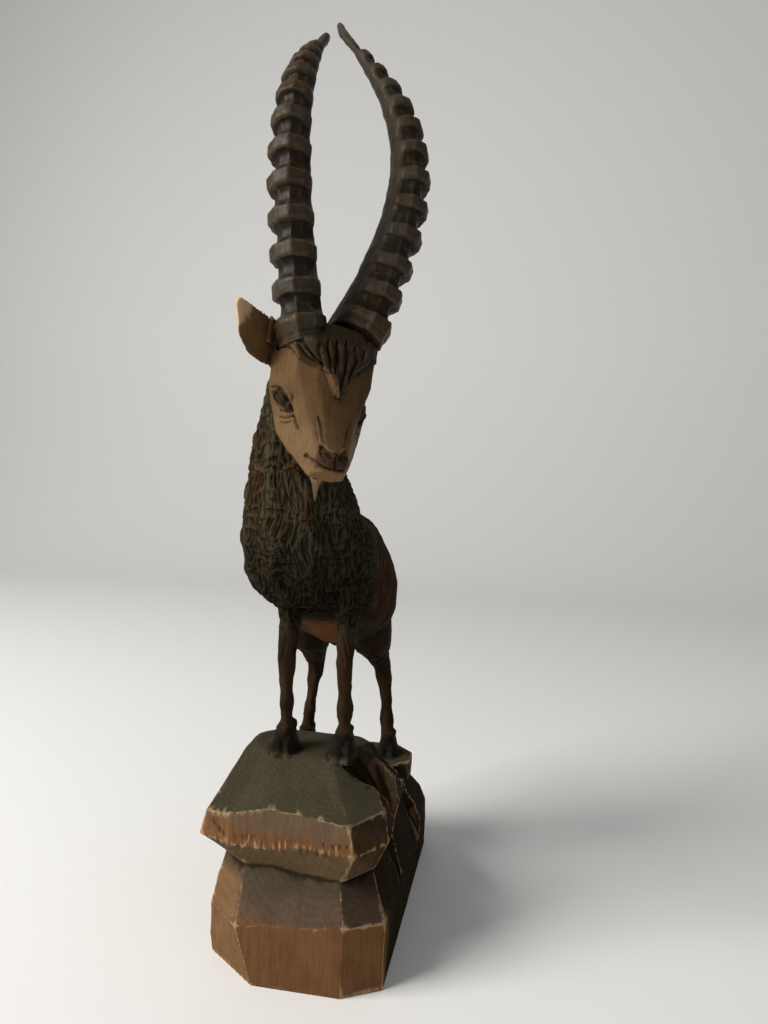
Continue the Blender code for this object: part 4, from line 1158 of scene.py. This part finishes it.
def lay_paper(studio):
    """A sheet of pale paper that lies under the carving and rises behind it."""
    half_width = 2.5
    front = -1.6
    bend_start = 0.9
    bend_radius = 0.5
    profile = [(front, 0.0), (bend_start, 0.0)]
    for step in range(1, 13):
        angle = math.pi / 2 * step / 12
        profile.append((bend_start + bend_radius * math.sin(angle), bend_radius * (1.0 - math.cos(angle))))
    profile.append((bend_start + bend_radius, 3.0))
    shape = bmesh.new()
    rows = [[shape.verts.new((x, y, z)) for x in (-half_width, half_width)] for y, z in profile]
    for low, high in zip(rows, rows[1:]):
        shape.faces.new((low[0], low[1], high[1], high[0])).smooth = True
    mesh = bpy.data.meshes.new("paper")
    shape.to_mesh(mesh)
    shape.free()
    paper = bpy.data.objects.new("paper", mesh)
    bpy.context.scene.collection.objects.link(paper)
    material = bpy.data.materials.new("Pale paper")
    bench = NodeBench(material)
    fibre = bench.add("ShaderNodeTexNoise", Scale=260.0, Detail=3.0).outputs["Fac"]
    tint = bench.mix(bench.ramp(fibre, 0.3, 0.7, 0.0, 0.05), opaque(studio.paper), (0.70, 0.70, 0.70, 1.0))
    bench.put(bench.shader.inputs["Base Color"], tint)
    bench.shader.inputs["Roughness"].default_value = 0.9
    mesh.materials.append(material)


def hang_lights(scene, studio):
    """An even sky, a large lamp at the left and a weak one at the right."""
    world = bpy.data.worlds.new("Even sky")
    world.use_nodes = True
    sky = world.node_tree.nodes["Background"]
    sky.inputs["Color"].default_value = (0.96, 0.98, 1.0, 1.0)
    sky.inputs["Strength"].default_value = studio.sky_strength
    scene.world = world
    for name, place, size, power, colour in (
        ("Key", (-0.95, -0.65, 0.95), 0.75, studio.key_power, (1.0, 0.97, 0.92)),
        ("Fill", (1.0, -0.8, 0.7), 0.9, studio.fill_power, (0.93, 0.96, 1.0)),
    ):
        light = bpy.data.lights.new(name, "AREA")
        light.size = size
        light.energy = power
        light.color = colour
        lamp = bpy.data.objects.new(name, light)
        lamp.location = place
        aim = Vector((0.0, 0.0, 0.20)) - lamp.location
        lamp.rotation_euler = aim.to_track_quat("-Z", "Y").to_euler()
        scene.collection.objects.link(lamp)


def place_camera(scene, studio):
    """The camera at the photograph's viewing angle."""
    turn = studio.camera_turn
    dip = studio.camera_dip
    roll = studio.camera_roll
    ahead = Vector((-math.sin(turn) * math.cos(dip), math.cos(turn) * math.cos(dip), -math.sin(dip)))
    level = Vector((math.cos(turn), math.sin(turn), 0.0))
    above = level.cross(ahead)
    right = level * math.cos(roll) + above * math.sin(roll)
    top = above * math.cos(roll) - level * math.sin(roll)
    camera = bpy.data.cameras.new("Camera")
    camera.lens = studio.lens
    camera.sensor_width = SENSOR_WIDTH
    camera.clip_start = 0.01
    holder = bpy.data.objects.new("Camera", camera)
    aim = Matrix((right, top, -ahead)).transposed().to_4x4()
    holder.matrix_world = Matrix.Translation(Vector(studio.camera_place)) @ aim
    scene.collection.objects.link(holder)
    scene.camera = holder


class CARVING_PT_panel(bpy.types.Panel):
    """The operators and the sizes and colours they use"""

    bl_label = "Carved ibex"
    bl_idname = "CARVING_PT_panel"
    bl_space_type = "VIEW_3D"
    bl_region_type = "UI"
    bl_category = "Carving"

    def draw(self, context):
        scene = context.scene
        for group in (scene.carving_sizes, scene.stain_palette, scene.studio_settings):
            box = self.layout.box()
            for name in group.__annotations__:
                box.prop(group, name)
        for operator in OPERATORS:
            self.layout.operator(operator.bl_idname)


OPERATORS = (CARVING_OT_block, CARVING_OT_horns, CARVING_OT_stage)
CLASSES = (CarvingSizes, StainPalette, StudioSettings, *OPERATORS, CARVING_PT_panel)


def register():
    for each in CLASSES:
        bpy.utils.register_class(each)
    bpy.types.Scene.carving_sizes = bpy.props.PointerProperty(type=CarvingSizes)
    bpy.types.Scene.stain_palette = bpy.props.PointerProperty(type=StainPalette)
    bpy.types.Scene.studio_settings = bpy.props.PointerProperty(type=StudioSettings)


def unregister():
    del bpy.types.Scene.studio_settings
    del bpy.types.Scene.stain_palette
    del bpy.types.Scene.carving_sizes
    for each in reversed(CLASSES):
        bpy.utils.unregister_class(each)


def main():
    register()
    bpy.ops.carving.block()
    bpy.ops.carving.horns()
    bpy.ops.carving.stage()


if __name__ == "__main__":
    main()
